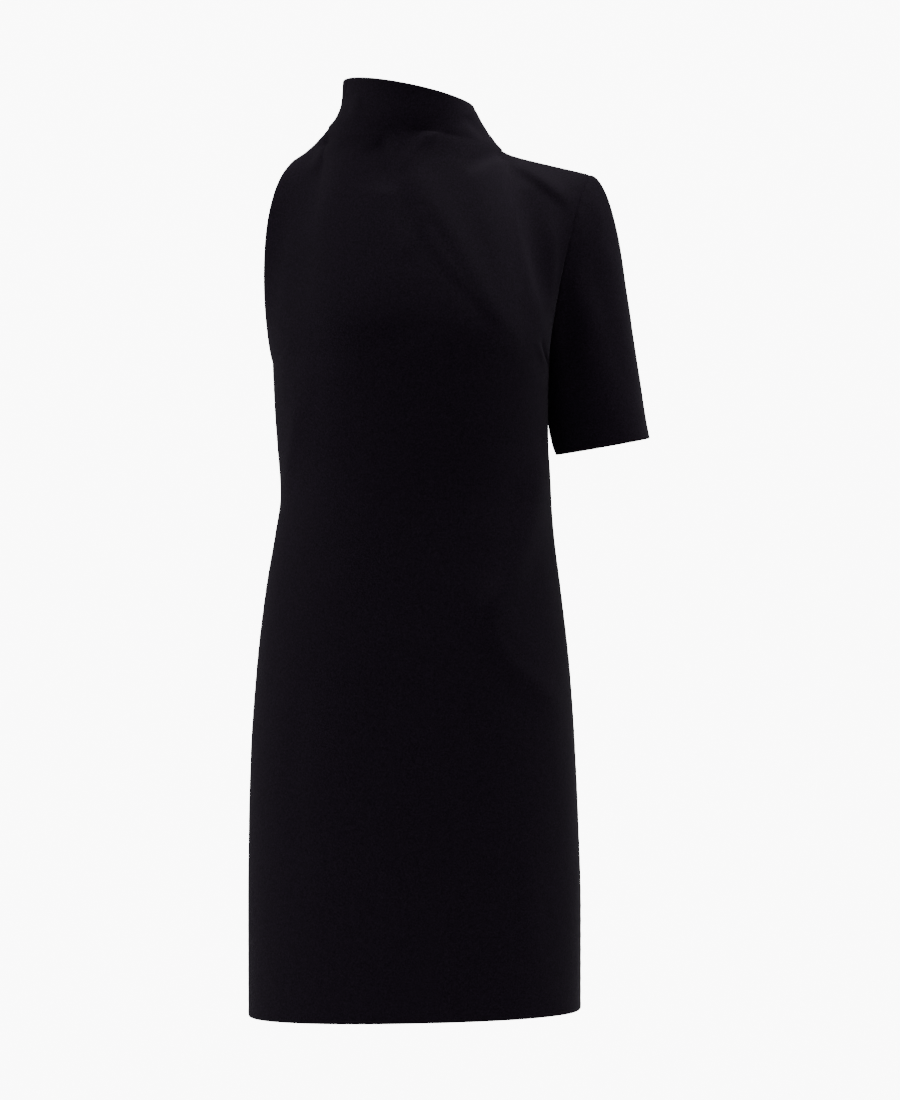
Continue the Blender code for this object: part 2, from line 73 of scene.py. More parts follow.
Section = namedtuple("Section", "z right left front back")
SECTIONS = [
    Section(-900, 173.2, 170.5, 117.0, 116.0),
    Section(-786, 173.4, 170.5, 117.0, 118.5),
    Section(-703, 172.5, 168.2, 117.0, 120.5),
    Section(-621, 170.5, 164.7, 117.0, 121.5),
    Section(-539, 165.0, 159.3, 116.0, 119.5),
    Section(-456, 155.5, 150.0, 113.0, 111.0),
    Section(-395, 145.2, 142.3, 108.0, 100.0),
    Section(-353, 139.6, 139.0, 105.0, 93.0),
    Section(-302, 143.2, 136.8, 109.0, 90.0),
    Section(-261, 146.0, 136.3, 117.0, 91.5),
    Section(-217, 148.0, 138.0, 126.0, 95.0),
]

BUST_X = 84 * MM
BUST_Z = -196 * MM
BUST_SPREAD = 40 * MM
BUST_RISE = 6 * MM

Point = namedtuple("Point", "x y z")
NECK_POINT_RIGHT = Point(-90, 2, 27)
NECK_POINT_LEFT = Point(89, 2, 3)
TIP_RIGHT = Point(-124, 0, -6)
TIP_LEFT = Point(180, 0, -22)
SAG_RIGHT = 3.0
SAG_LEFT = 3.5
SAG_LEFT_REACH = 0.09
CORNER_SOFT = 0.14
CORNER_STEPS = 8

Pull = namedtuple("Pull", "share rise low_x low_y top_x top_y top_z")
PULLS = {
    ("front", "right"): [
        Pull(0.00, 66, 0, 0, 0, -24, -56),
        Pull(0.25, 66, 0, 0, -1, -34, -53),
        Pull(0.50, 66, 0, 0, -4, -58, -46),
        Pull(0.75, 52, -4, -18, -16, -54, -36),
        Pull(1.00, 10, -4, -48, -47, -58, -41),
    ],
    ("front", "left"): [
        Pull(0.00, 66, 0, 0, 0, -24, -56),
        Pull(0.25, 66, 0, 0, 1, -34, -50),
        Pull(0.50, 66, 0, 0, 4, -60, -36),
        Pull(0.75, 52, -2, -18, 0, -52, -32),
        Pull(1.00, 8, -5, -50, -22, -50, -42),
    ],
    ("back", "right"): [
        Pull(0.00, 76, 0, 0, 0, 20, -52),
        Pull(0.25, 74, 0, 0, -1, 28, -48),
        Pull(0.50, 70, 0, 0, -4, 50, -40),
        Pull(0.75, 54, 2, 16, -10, 48, -30),
        Pull(1.00, 10, 8, 48, -22, 44, -44),
    ],
    ("back", "left"): [
        Pull(0.00, 76, 0, 0, 0, 20, -52),
        Pull(0.25, 74, 0, 0, 1, 28, -46),
        Pull(0.50, 70, 0, 0, 4, 52, -34),
        Pull(0.75, 54, 0, 16, 0, 50, -28),
        Pull(1.00, 8, 2, 52, -14, 48, -38),
    ],
}

# The largest folds, as the solids have them
Fold = namedtuple("Fold", "side from_x from_z to_x to_z high wide")
FOLDS = [
    Fold("front", 62, -20, 96, -150, 3.0, 15),
    Fold("front", 10, -45, 100, -205, 2.6, 16),
    Fold("front", 142, -95, 141, -190, 2.5, 13),
    Fold("front", 133, -330, 78, -465, 4.0, 17),
    Fold("front", 78, -465, 140, -560, 3.0, 18),
    Fold("front", -128, -215, -20, -200, -3.5, 15),
    Fold("front", -122, -270, -140, -360, 2.2, 14),
    Fold("back", -120, -300, -30, -330, 3.5, 16),
    Fold("back", 120, -315, 40, -340, 3.5, 16),
    Fold("back", -95, -40, -104, -170, 2.5, 16),
    Fold("back", 98, -50, 110, -190, 2.5, 16),
]
FOLD_FADE = 24 * MM

# Funnel neck
BASE_CENTRE = np.array((-0.5, 2, 15)) * MM
BASE_HALF_WIDTH = 89.5 * MM
BASE_FRONT = 66 * MM
BASE_BACK = 64 * MM
BASE_SLOPE = 12 * MM
BASE_RISE = {"front": 2 * MM, "back": 6 * MM}
TOP_CENTRE_X = -7.5 * MM
TOP_CENTRE_Y = -11 * MM
TOP_HALF_WIDTH = 67.5 * MM
TOP_HALF_DEPTH = 59 * MM
TOP_Z = 58.5 * MM
TOP_SLOPE = 13.5 * MM
TOP_RISE = {"front": 5 * MM, "back": 3 * MM}
SEAM_TURN = math.radians(22)
NECK_LEAVING = Point(-12.5, 5, 13)
NECK_ARRIVING = Point(3.2, -2, -16)
NECK_LEFT_FLARE = 4.8

# Sleeve
CUFF_CENTRE = np.array((194, 14, -303.5)) * MM
CUFF_ACROSS = np.array((98, 0, 17.4)) * MM
CUFF_HALF_DEPTH = 51 * MM
ARM_DROP = np.array((0.19, 0.03, -0.98))
CAP_DROOP = 0.22
CAP_ROUND = 0.8
Handles = namedtuple("Handles", "underarm shoulder")
LEAVE_ARMHOLE = Handles(7 * MM, 34 * MM)
REACH_CUFF = Handles(34 * MM, 120 * MM)
UNDERARM_LEAVE = np.array((-6.2, 0, -17)) * MM
UNDERARM_REACH = np.array((-9.0, -1.0, 5.0)) * MM
SEAM_GAP = 0.3 * MM

# Fine creases of the worn cloth: each follows a curve through three places as seen from the front or
# from behind. High is its height, less than nothing for a trough, and its two sides fall away over
# different widths: the first is on the left of the way that it runs.
Crease = namedtuple("Crease", "side x1 z1 x2 z2 x3 z3 high left right")
CREASE_STEPS = 13
CREASES = [
    # The break at the base of the funnel, and the roll of cloth over it
    Crease("front", -98, 15, -62, 7, -26, 8, -4.8, 7.0, 13.0),
    Crease("front", -20, 12, 22, 11, 68, 8, 3.0, 12.0, 14.0),
    Crease("front", -84, 31, -34, 29, 20, 28, 3.4, 20.0, 12.0),
    Crease("front", -68, 28, -59, 42, -63, 58, 1.6, 6.0, 6.0),
    Crease("front", 50, 34, 60, 24, 78, 8, -1.6, 6.0, 6.0),
    # Drag lines from the neck's base down to the dart on the sleeve's side
    Crease("front", 26, 15, 2, 2, -14, -26, 3.0, 7.0, 4.0),
    Crease("front", 26, 6, 2, -70, 112, -206, 2.8, 14.0, 6.0),
    Crease("front", -2, -60, 34, -112, 84, -190, -2.4, 9.0, 12.0),
    Crease("front", 4, -62, -4, -92, -12, -118, 1.6, 8.0, 7.0),
    Crease("front", -38, 12, -29, -12, -27, -48, -5.4, 8.0, 26.0),
    # The hollow beside the neck and the folds that fall from the shoulder
    Crease("front", 98, 0, 78, -6, 50, -24, -3.8, 8.0, 10.0),
    Crease("front", 94, -18, 102, -86, 135, -206, 1.8, 7.0, 12.0),
    Crease("front", 116, -40, 121, -90, 132, -160, -3.4, 12.0, 10.0),
    Crease("front", 142, -72, 141, -118, 139, -168, 1.4, 5.0, 5.0),
    Crease("front", 96, -14, 126, -30, 164, -62, 3.6, 12.0, 5.0),
    # Below the bust, at the waist and over the hips
    Crease("front", -8, -212, 52, -214, 112, -228, -0.8, 10.0, 16.0),
    Crease("front", -122, -258, -127, -308, -138, -362, 1.3, 6.0, 5.0),
    Crease("front", 128, -306, 112, -402, 78, -472, 3.2, 14.0, 9.0),
    Crease("front", 78, -464, 90, -518, 150, -566, 2.8, 9.0, 14.0),
    Crease("front", 104, -330, 92, -400, 62, -466, -1.6, 10.0, 12.0),
    Crease("front", -96, -330, -52, -344, -8, -338, 0.8, 9.0, 8.0),
    Crease("front", 60, -560, 55, -644, 50, -750, -1.8, 13.0, 13.0),
    Crease("front", -112, -520, -120, -640, -116, -800, -0.8, 16.0, 12.0),
    Crease("front", -20, -600, -26, -700, -18, -830, 0.8, 18.0, 20.0),
    Crease("front", 112, -700, 118, -780, 116, -872, 1.0, 15.0, 12.0),
    Crease("front", -94, 8, -97, -6, -110, -26, 3.0, 6.0, 7.0),
    Crease("front", -70, -6, -92, -60, -128, -120, 1.0, 14.0, 12.0),
    # Behind: from the neck, across the small of the back and below the seat
    Crease("back", -92, 22, -40, 10, 4, 14, -2.6, 5.0, 7.0),
    Crease("back", 90, 0, 48, 4, 4, 12, -2.4, 7.0, 5.0),
    Crease("back", -84, 2, -92, -60, -116, -140, 1.5, 9.0, 12.0),
    Crease("back", 82, -16, 104, -90, 128, -190, 1.8, 9.0, 12.0),
    Crease("back", 106, -34, 118, -96, 134, -160, -1.8, 8.0, 8.0),
    Crease("back", -134, -292, -80, -326, -14, -334, 2.0, 8.0, 11.0),
    Crease("back", -128, -322, -84, -348, -26, -352, 1.6, 9.0, 7.0),
    Crease("back", 134, -300, 86, -330, 20, -342, 2.1, 10.0, 8.0),
    Crease("back", 120, -338, 70, -362, 24, -362, -1.3, 8.0, 9.0),
    Crease("back", -120, -372, -76, -402, -50, -456, 1.5, 10.0, 12.0),
    Crease("back", 118, -380, 88, -420, 76, -470, 1.4, 12.0, 9.0),
    Crease("back", -110, -590, -60, -628, -10, -630, -1.2, 12.0, 14.0),
    Crease("back", 112, -585, 64, -624, 14, -628, -1.3, 14.0, 12.0),
    Crease("back", 74, -640, 82, -730, 78, -850, 1.0, 15.0, 17.0),
    Crease("back", -66, -650, -72, -740, -70, -840, 0.9, 17.0, 14.0),
]

# Bust darts: sewn lines that start at the side and point up at the bust
DARTS = [
    Crease("front", 127, -196, 133, -212, 139.5, -233, -1.7, 1.5, 1.6),
    Crease("front", -130, -200, -136, -208, -142, -219, -0.8, 1.5, 1.5),
]
DART_LIP = [
    Crease("front", 123, -196, 129, -212, 136, -234, 0.9, 4.0, 3.0),
    Crease("front", -126, -200, -132, -210, -139, -221, 0.5, 3.0, 4.0),
]

# Folds of the sleeve, by their share of the way round from the underarm and of the way down
Pleat = namedtuple("Pleat", "round1 down1 round2 down2 high wide")
PLEATS = [
    Pleat(0.25, 0.10, 0.28, 0.62, 2.2, 0.040),
    Pleat(0.17, 0.16, 0.19, 0.80, -2.4, 0.045),
    Pleat(0.34, 0.20, 0.36, 0.90, -1.5, 0.045),
    Pleat(0.10, 0.45, 0.14, 0.98, 1.2, 0.050),
    Pleat(0.66, 0.12, 0.68, 0.66, 1.8, 0.045),
    Pleat(0.76, 0.18, 0.78, 0.78, -2.0, 0.045),
    Pleat(0.86, 0.35, 0.84, 0.95, 1.2, 0.050),
    Pleat(0.45, 0.08, 0.42, 0.30, 1.0, 0.030),
    Pleat(0.57, 0.06, 0.60, 0.28, 1.0, 0.030),
]

# The cloth's small unevenness: the size of its waves, their height in mm and how far they are stretched
Wave = namedtuple("Wave", "size high stretch seed")
BODY_WAVES = [Wave(0.07, 0.9, 3.2, 3.0), Wave(0.028, 0.3, 1.6, 11.0)]
SLEEVE_WAVES = [Wave(0.05, 0.9, 2.4, 7.0), Wave(0.022, 0.3, 1.4, 5.0)]

# Edges: how the cloth turns at a seam and at a folded edge, across into the panel and down inside
Turn = namedtuple("Turn", "across deep")
SEAM_EDGE = [Turn(0.05, 0.4), Turn(0.1, 1.0), Turn(0.8, 1.3), Turn(3.0, 1.4), Turn(6.0, 1.4)]
FOLD_EDGE = [
    Turn(-0.45, 0.18),
    Turn(-0.8, 0.65),
    Turn(-0.8, 1.5),
    Turn(-0.45, 2.0),
    Turn(0.3, 2.2),
    Turn(4.0, 2.2),
]
TURN_STEP = 4.0
TURN_CHAIN = 40
ALLOWANCE = 12 * MM
SLEEVE_ALLOWANCE = 10 * MM
SEAM_DIP = 0.8 * MM
SEAM_SOFT = 1.8 * MM
SEAM_CALM = 11 * MM
PUCKER = 0.2 * MM
PUCKER_WAVE = 15 * MM
PUCKER_REACH = 7 * MM
PUCKER_DRIFT = 1.7
DRIFT_WAVE = 43 * MM
SEAM_NEAR = 30 * MM
UNDERARM_SINK = 0.7

# Spacing of the fine grids, with closer lines beside each edge
COLUMNS = 112
SKIRT_FINE = 132
YOKE_FINE = 62
NECK_FINE = 22
SLEEVE_AROUND = 144
SLEEVE_DOWN = 84
EDGE_STEPS = (0.7, 1.5, 2.6, 4.0)
EDGE_ROOM = 0.6
HALF_BODY = 260 * MM
YOKE_TALL = 230 * MM
NECK_TALL = 60 * MM
SLEEVE_LONG = 250 * MM

# Softening of the funnel's base and of the cloth below the neck's corners
SOFT_ROUNDS = 30
SOFT_REACH = 20 * MM

# Zip
TAPE_GAP = 0.6 * MM
CLOTH_SOLID = 1.6 * MM
TAPE_HALF_WIDTH = 12 * MM
TAPE_LOW_ROW = 14
TAPE_STEPS = 150
TAPE_COLUMNS = 9
TAPE_LONG = 520 * MM
BACK_HALF = 170 * MM
COIL_WIRE = 0.3 * MM
COIL_TILT = 0.25
RING_SIDES = 10
WIRE_SIDES = 6

# Hem stitches: how far below the turning's edge they lie, how far inside, and their size
STITCH_BELOW = 2 * MM
STITCH_STEPS = 120
STITCH_REACH = 0.985
STITCH_SLOPE = 0.01
STITCH_RING = 1.6 * MM
STITCH_WIRE = 0.22 * MM
STITCH_TILT = 1.2
THREAD_INSIDE = 2.3 * MM

# Stage: the floor and backdrop seen from the side, and the lights, which all face the dress
STRIP_HALF = 5.0
FLOOR_NEAR = -6.0
FLOOR_FAR = 1.6
BACKDROP_BEND = 0.8
BACKDROP_TALL = 5.0
SENSOR = 36
MIDDLE = (0, 0, -0.4)
Light = namedtuple("Light", "name place target size power")
LIGHTS = [
    Light("left_key", (-2.7, -0.5, 0.9), MIDDLE, (1.2, 1.6), 52),
    Light("left_rim", (-2.2, 0.9, 0.0), MIDDLE, (0.5, 2.2), 3),
    Light("right_key", (2.5, -0.7, 0.9), MIDDLE, (1.0, 1.6), 9),
    Light("right_rim", (2.2, 0.9, 0.0), MIDDLE, (0.5, 2.2), 2.4),
    Light("top", (0.75, 0.0, 2.0), (0.05, 0, 0), (1.2, 0.9), 66),
]


class DressSettings(bpy.types.PropertyGroup):
    """Sizes and colours of the cloth and its sewing."""

    cloth_thickness: FloatProperty(
        name="Cloth thickness",
        description="Thickness of one layer of crepe",
        default=0.0006,
        min=0.0002,
        max=0.0015,
        unit="LENGTH",
        precision=5,
    )
    hem_turning: FloatProperty(
        name="Hem turning",
        description="Depth of the hem's turning, inside the skirt",
        default=0.03,
        unit="LENGTH",
    )
    neck_turning: FloatProperty(
        name="Neck turning",
        description="Depth of the turning at the neck, the armhole and the cuff",
        default=0.022,
        unit="LENGTH",
    )
    crease_strength: FloatProperty(
        name="Crease strength",
        description="How much of their full height the fine creases have",
        default=1.0,
        min=0.0,
        max=2.0,
    )
    cloth_colour: FloatVectorProperty(
        name="Cloth colour",
        description="Colour of the crepe",
        subtype="COLOR",
        size=3,
        default=(0.0067, 0.0044, 0.0082),
        min=0,
        max=1,
    )
    grain_size: FloatProperty(
        name="Grain size",
        description="Width of the pebbles in the crepe's grain",
        default=0.0009,
        unit="LENGTH",
        precision=5,
    )
    sheen: FloatProperty(
        name="Sheen",
        description="Strength of the soft light that the nap gives at a glancing angle",
        default=0.03,
        min=0,
        max=1,
    )
    stitch_spacing: FloatProperty(
        name="Stitch spacing",
        description="Distance between two catch stitches of the hem",
        default=0.007,
        unit="LENGTH",
    )


class ZipSettings(bpy.types.PropertyGroup):
    """Sizes and colours of the concealed zip."""

    coil_pitch: FloatProperty(
        name="Coil pitch",
        description="Distance between two turns of the coil",
        default=0.0017,
        unit="LENGTH",
        precision=5,
    )
    coil_radius: FloatProperty(
        name="Coil radius",
        description="Radius of one turn of the coil",
        default=0.0013,
        unit="LENGTH",
        precision=5,
    )
    metal_colour: FloatVectorProperty(
        name="Metal colour",
        description="Colour of the lacquered slider and pull",
        subtype="COLOR",
        size=3,
        default=(0.018, 0.018, 0.02),
        min=0,
        max=1,
    )


class StageSettings(bpy.types.PropertyGroup):
    """The floor, the backdrop, the lights and the camera."""

    camera_distance: FloatProperty(
        name="Camera distance", description="From the dress to the camera", default=4.5, unit="LENGTH"
    )
    camera_x: FloatProperty(
        name="Camera side", description="Sideways place of the camera", default=0.0353, unit="LENGTH"
    )
    camera_z: FloatProperty(
        name="Camera height", description="Height of the camera", default=-0.4117, unit="LENGTH"
    )
    pixels_per_metre: FloatProperty(
        name="Scale", description="Pixels per metre at the middle of the dress", default=964.3
    )
    image_height: IntProperty(
        name="Image height", description="Height of the picture in pixels", default=1100
    )
    backdrop_glow: FloatProperty(
        name="Backdrop glow", description="Brightness of the lit white backdrop", default=9.0
    )
    soft_light: FloatProperty(
        name="Soft light", description="Brightness of the light from all round", default=0.28
    )
    floor_drop: FloatProperty(
        name="Floor drop", description="How far the floor is below the hem", default=0.35, unit="LENGTH"
    )


def lerp(a, b, share):
    return a + (b - a) * share


def smooth_read(rows, along, name, at):
    """Reads a column of a table between its rows, on a smooth curve with no overshoot."""
    xs = np.array([getattr(row, along) for row in rows], dtype=float)
    ys = np.array([getattr(row, name) for row in rows], dtype=float)
    steps = np.diff(ys) / np.diff(xs)
    before, after = steps[:-1], steps[1:]
    same = before * after > 0
    total = np.where(same, before + after, 1.0)
    middle = np.where(same, 2 * before * after / total, 0.0)
    slopes = np.concatenate((steps[:1], middle, steps[-1:]))
    at = np.clip(at, xs[0], xs[-1])
    i = np.clip(np.searchsorted(xs, at, side="right") - 1, 0, len(xs) - 2)
    width = xs[i + 1] - xs[i]
    s = (at - xs[i]) / width
    return (
        (1 + 2 * s) * (1 - s) ** 2 * ys[i]
        + s * (1 - s) ** 2 * width * slopes[i]
        + s * s * (3 - 2 * s) * ys[i + 1]
        + s * s * (s - 1) * width * slopes[i + 1]
    )


def bezier(start, leaving, arriving, end, s):
    """Points of the curves from start to end, pulled by the leaving and arriving offsets."""
    s = np.asarray(s)[..., None]
    r = 1 - s
    return (
        start * r**3
        + (start + leaving) * 3 * s * r * r
        + (end + arriving) * 3 * s * s * r
        + end * s**3
    )


def places(x, y, z):
    return np.stack(np.broadcast_arrays(x, y, z), axis=-1).astype(float)


def level_point(z, t, side):
    """The body's section at height z: t runs from -1 at the right seam to 1 at the left one."""
    at = z / MM
    angle = t * math.pi / 2
    half = np.where(t > 0, smooth_read(SECTIONS, "z", "left", at), smooth_read(SECTIONS, "z", "right", at))
    x = half * np.sign(t) * np.abs(np.sin(angle)) ** (2 / SQUARE)
    depth = smooth_read(SECTIONS, "z", side, at) * np.maximum(0, np.cos(angle)) ** (2 / SQUARE)
    return places(x * MM, (-depth if side == "front" else depth) * MM, z)


def skirt_point(share, t, side):
    z = lerp(HEM_Z, UNDERARM_Z, share)
    point = level_point(z, t, side)
    fade = np.clip((HIP_Z - z) / (HIP_Z - HEM_Z), 0, 1)
    point[..., 2] += HEM_TILT * point[..., 0] * fade
    return point


def neck_base(t, side):
    across, along = np.sin(t * math.pi), np.cos(t * math.pi)
    deep = -BASE_FRONT if side == "front" else BASE_BACK
    rise = BASE_RISE[side] * along - BASE_SLOPE * across
    return BASE_CENTRE + places(BASE_HALF_WIDTH * across, deep * along, rise)


def shoulder_point(t):
    """Points of the shoulder seam, from the neck out to the shoulder's tip."""
    out = np.clip((np.abs(t) - NECK_SHARE) / (1 - NECK_SHARE), 0, 1)[..., None]
    right = lerp(np.array(NECK_POINT_RIGHT), np.array(TIP_RIGHT), out)
    left = lerp(np.array(NECK_POINT_LEFT), np.array(TIP_LEFT), out)
    right[..., 2] -= (SAG_RIGHT * np.sin(math.pi * out))[..., 0]
    left[..., 2] -= (SAG_LEFT * (1 - out) * (1 - np.exp(-out / SAG_LEFT_REACH)))[..., 0]
    return np.where((t < 0)[..., None], right, left) * MM


def yoke_top(t, side):
    on_neck = (np.abs(t) <= NECK_SHARE)[..., None]
    return np.where(on_neck, neck_base(t, side), shoulder_point(t))


def rounded_top(t, side):
    """The yoke's top edge with its corners at the neck rounded off."""
    room = np.clip(1 - np.abs(t), 0, CORNER_SOFT)
    steps = range(-CORNER_STEPS, CORNER_STEPS + 1)
    return sum(yoke_top(t + room * step / CORNER_STEPS, side) for step in steps) / len(steps)


def yoke_point(share, t, side):
    """Points between the underarm level and the shoulder seams and neck's base."""
    names = Pull._fields[1:]
    read = {
        name: np.where(
            t > 0,
            smooth_read(PULLS[side, "left"], "share", name, np.abs(t)),
            smooth_read(PULLS[side, "right"], "share", name, np.abs(t)),
        )
        * MM
        for name in names
    }
    low = np.full_like(t, UNDERARM_Z)
    start = level_point(low, t, side)
    slope = (start - level_point(low - SLOPE_STEP, t, side)) / SLOPE_STEP
    leaving = slope * read["rise"][..., None] + places(read["low_x"], read["low_y"], 0)
    top = yoke_top(t, side)
    arriving = places(read["top_x"], read["top_y"], read["top_z"]) + rounded_top(t, side) - top
    return bezier(start, leaving, arriving, top, share)


def neck_top(t, side):
    """The funnel's top edge, which slopes down to the wearer's left."""
    angle = t * math.pi
    front = side == "front"
    turned = angle + SEAM_TURN * (0.5 - t) if front else angle - SEAM_TURN * (0.5 - t) ** 3
    forward = np.cos(turned) if front else -np.cos(turned)
    rise = TOP_RISE["front"] * np.maximum(0, forward) + TOP_RISE["back"] * np.maximum(0, -forward)
    return places(
        TOP_CENTRE_X + TOP_HALF_WIDTH * np.sin(turned),
        TOP_CENTRE_Y - TOP_HALF_DEPTH * forward,
        TOP_Z - TOP_SLOPE * np.sin(turned) + rise,
    )


def neck_point(share, t, side):
    angle = t * math.pi
    across, along = np.sin(angle), np.cos(angle)
    out = -1 if side == "front" else 1
    leaving = places(NECK_LEAVING.x * across, NECK_LEAVING.y * out * along, NECK_LEAVING.z) * MM
    flare = (NECK_ARRIVING.x + NECK_LEFT_FLARE * across) * np.abs(across)
    arriving = places(flare, NECK_ARRIVING.y * out * along, NECK_ARRIVING.z) * MM
    return bezier(neck_base(t, side), leaving, arriving, neck_top(t, side), share)


def fold_rise(points, side):
    lift = np.zeros(points.shape[:-1])
    flat = points[..., [0, 2]]
    for fold in FOLDS:
        if fold.side != side:
            continue
        start = np.array((fold.from_x, fold.from_z)) * MM
        run = np.array((fold.to_x, fold.to_z)) * MM - start
        length = np.linalg.norm(run)
        reach = flat - start
        along = reach @ run / length**2
        aside = np.abs(reach[..., 0] * run[1] - reach[..., 1] * run[0]) / length
        past = np.maximum(0, np.maximum(-along, along - 1)) * length
        fade = np.exp(-((past / FOLD_FADE) ** 2))
        lift += fold.high * MM * np.exp(-((aside / (fold.wide * MM)) ** 2)) * fade
    return lift


def bust_rise(points):
    dz = points[..., 2] - BUST_Z
    return sum(
        BUST_RISE * np.exp(-((points[..., 0] - x) ** 2 + dz * dz) / (2 * BUST_SPREAD**2))
        for x in (-BUST_X, BUST_X)
    )


def body_surface(high, t, side):
    """The solids' outer face. High is 0 at the hem, 1 at the underarm, 2 at the shoulder, 3 on top."""
    high, t = np.broadcast_arrays(np.asarray(high, dtype=float), np.asarray(t, dtype=float))
    skirt = skirt_point(np.clip(high, 0, 1), t, side)
    yoke = yoke_point(np.clip(high - 1, 0, 1), t, side)
    neck = neck_point(np.clip(high - 2, 0, 1), np.clip(t, -NECK_SHARE, NECK_SHARE), side)
    part = high[..., None]
    points = np.where(part <= 1, skirt, np.where(part <= 2, yoke, neck))
    lift = fold_rise(points, side)
    if side == "front":
        lift = lift + bust_rise(points)
    out = -1 if side == "front" else 1
    points[..., 1] += out * lift * np.maximum(0, np.cos(t * math.pi / 2)) ** 0.5
    return points


def crease_lift(points, side, table):
    """How far the creases of a table lift the cloth at each point."""
    lift = np.zeros(len(points))
    flat = points[:, [0, 2]]
    for crease in table:
        if crease.side != side:
            continue
        a, b, c = (np.array(pair) * MM for pair in (crease[1:3], crease[3:5], crease[5:7]))
        control = 2 * b - (a + c) / 2
        shares = np.linspace(0, 1, CREASE_STEPS)
        path = [a * (1 - s) ** 2 + control * 2 * s * (1 - s) + c * s * s for s in shares]
        best = np.full(len(points), np.inf)
        along = np.zeros(len(points))
        turn = np.zeros(len(points))
        for i, (p, q) in enumerate(zip(path, path[1:])):
            run = q - p
            reach = flat - p
            share = np.clip(reach @ run / (run @ run), 0, 1)
            away = np.linalg.norm(reach - share[:, None] * run, axis=1)
            near = away < best
            best[near] = away[near]
            along[near] = ((i + share) / (len(path) - 1))[near]
            turn[near] = (run[0] * reach[:, 1] - run[1] * reach[:, 0])[near]
        width = np.where(turn > 0, crease.left, crease.right) * MM
        fade = 1 - np.abs(2 * along - 1) ** 3
        lift += crease.high * MM * np.exp(-((best / width) ** 2)) * fade
    return lift


def wander(points, waves):
    """The cloth's soft unevenness: each wave is longer upwards by its stretch."""
    lift = np.zeros(len(points))
    for size, high, stretch, seed in waves:
        places_read = (Vector((x / size + seed, y / size, z / (size * stretch))) for x, y, z in points)
        lift += np.array([noise.noise(place) for place in places_read]) * high * MM
    return lift


def normals_of(points, quads):
    """The way that a grid of points faces."""
    corners = points[quads]
    cross = np.cross(corners[:, 2] - corners[:, 0], corners[:, 3] - corners[:, 1])
    normals = np.zeros_like(points)
    for k in range(4):
        np.add.at(normals, quads[:, k], cross)
    return normals / np.maximum(np.linalg.norm(normals, axis=1), TINY)[:, None]


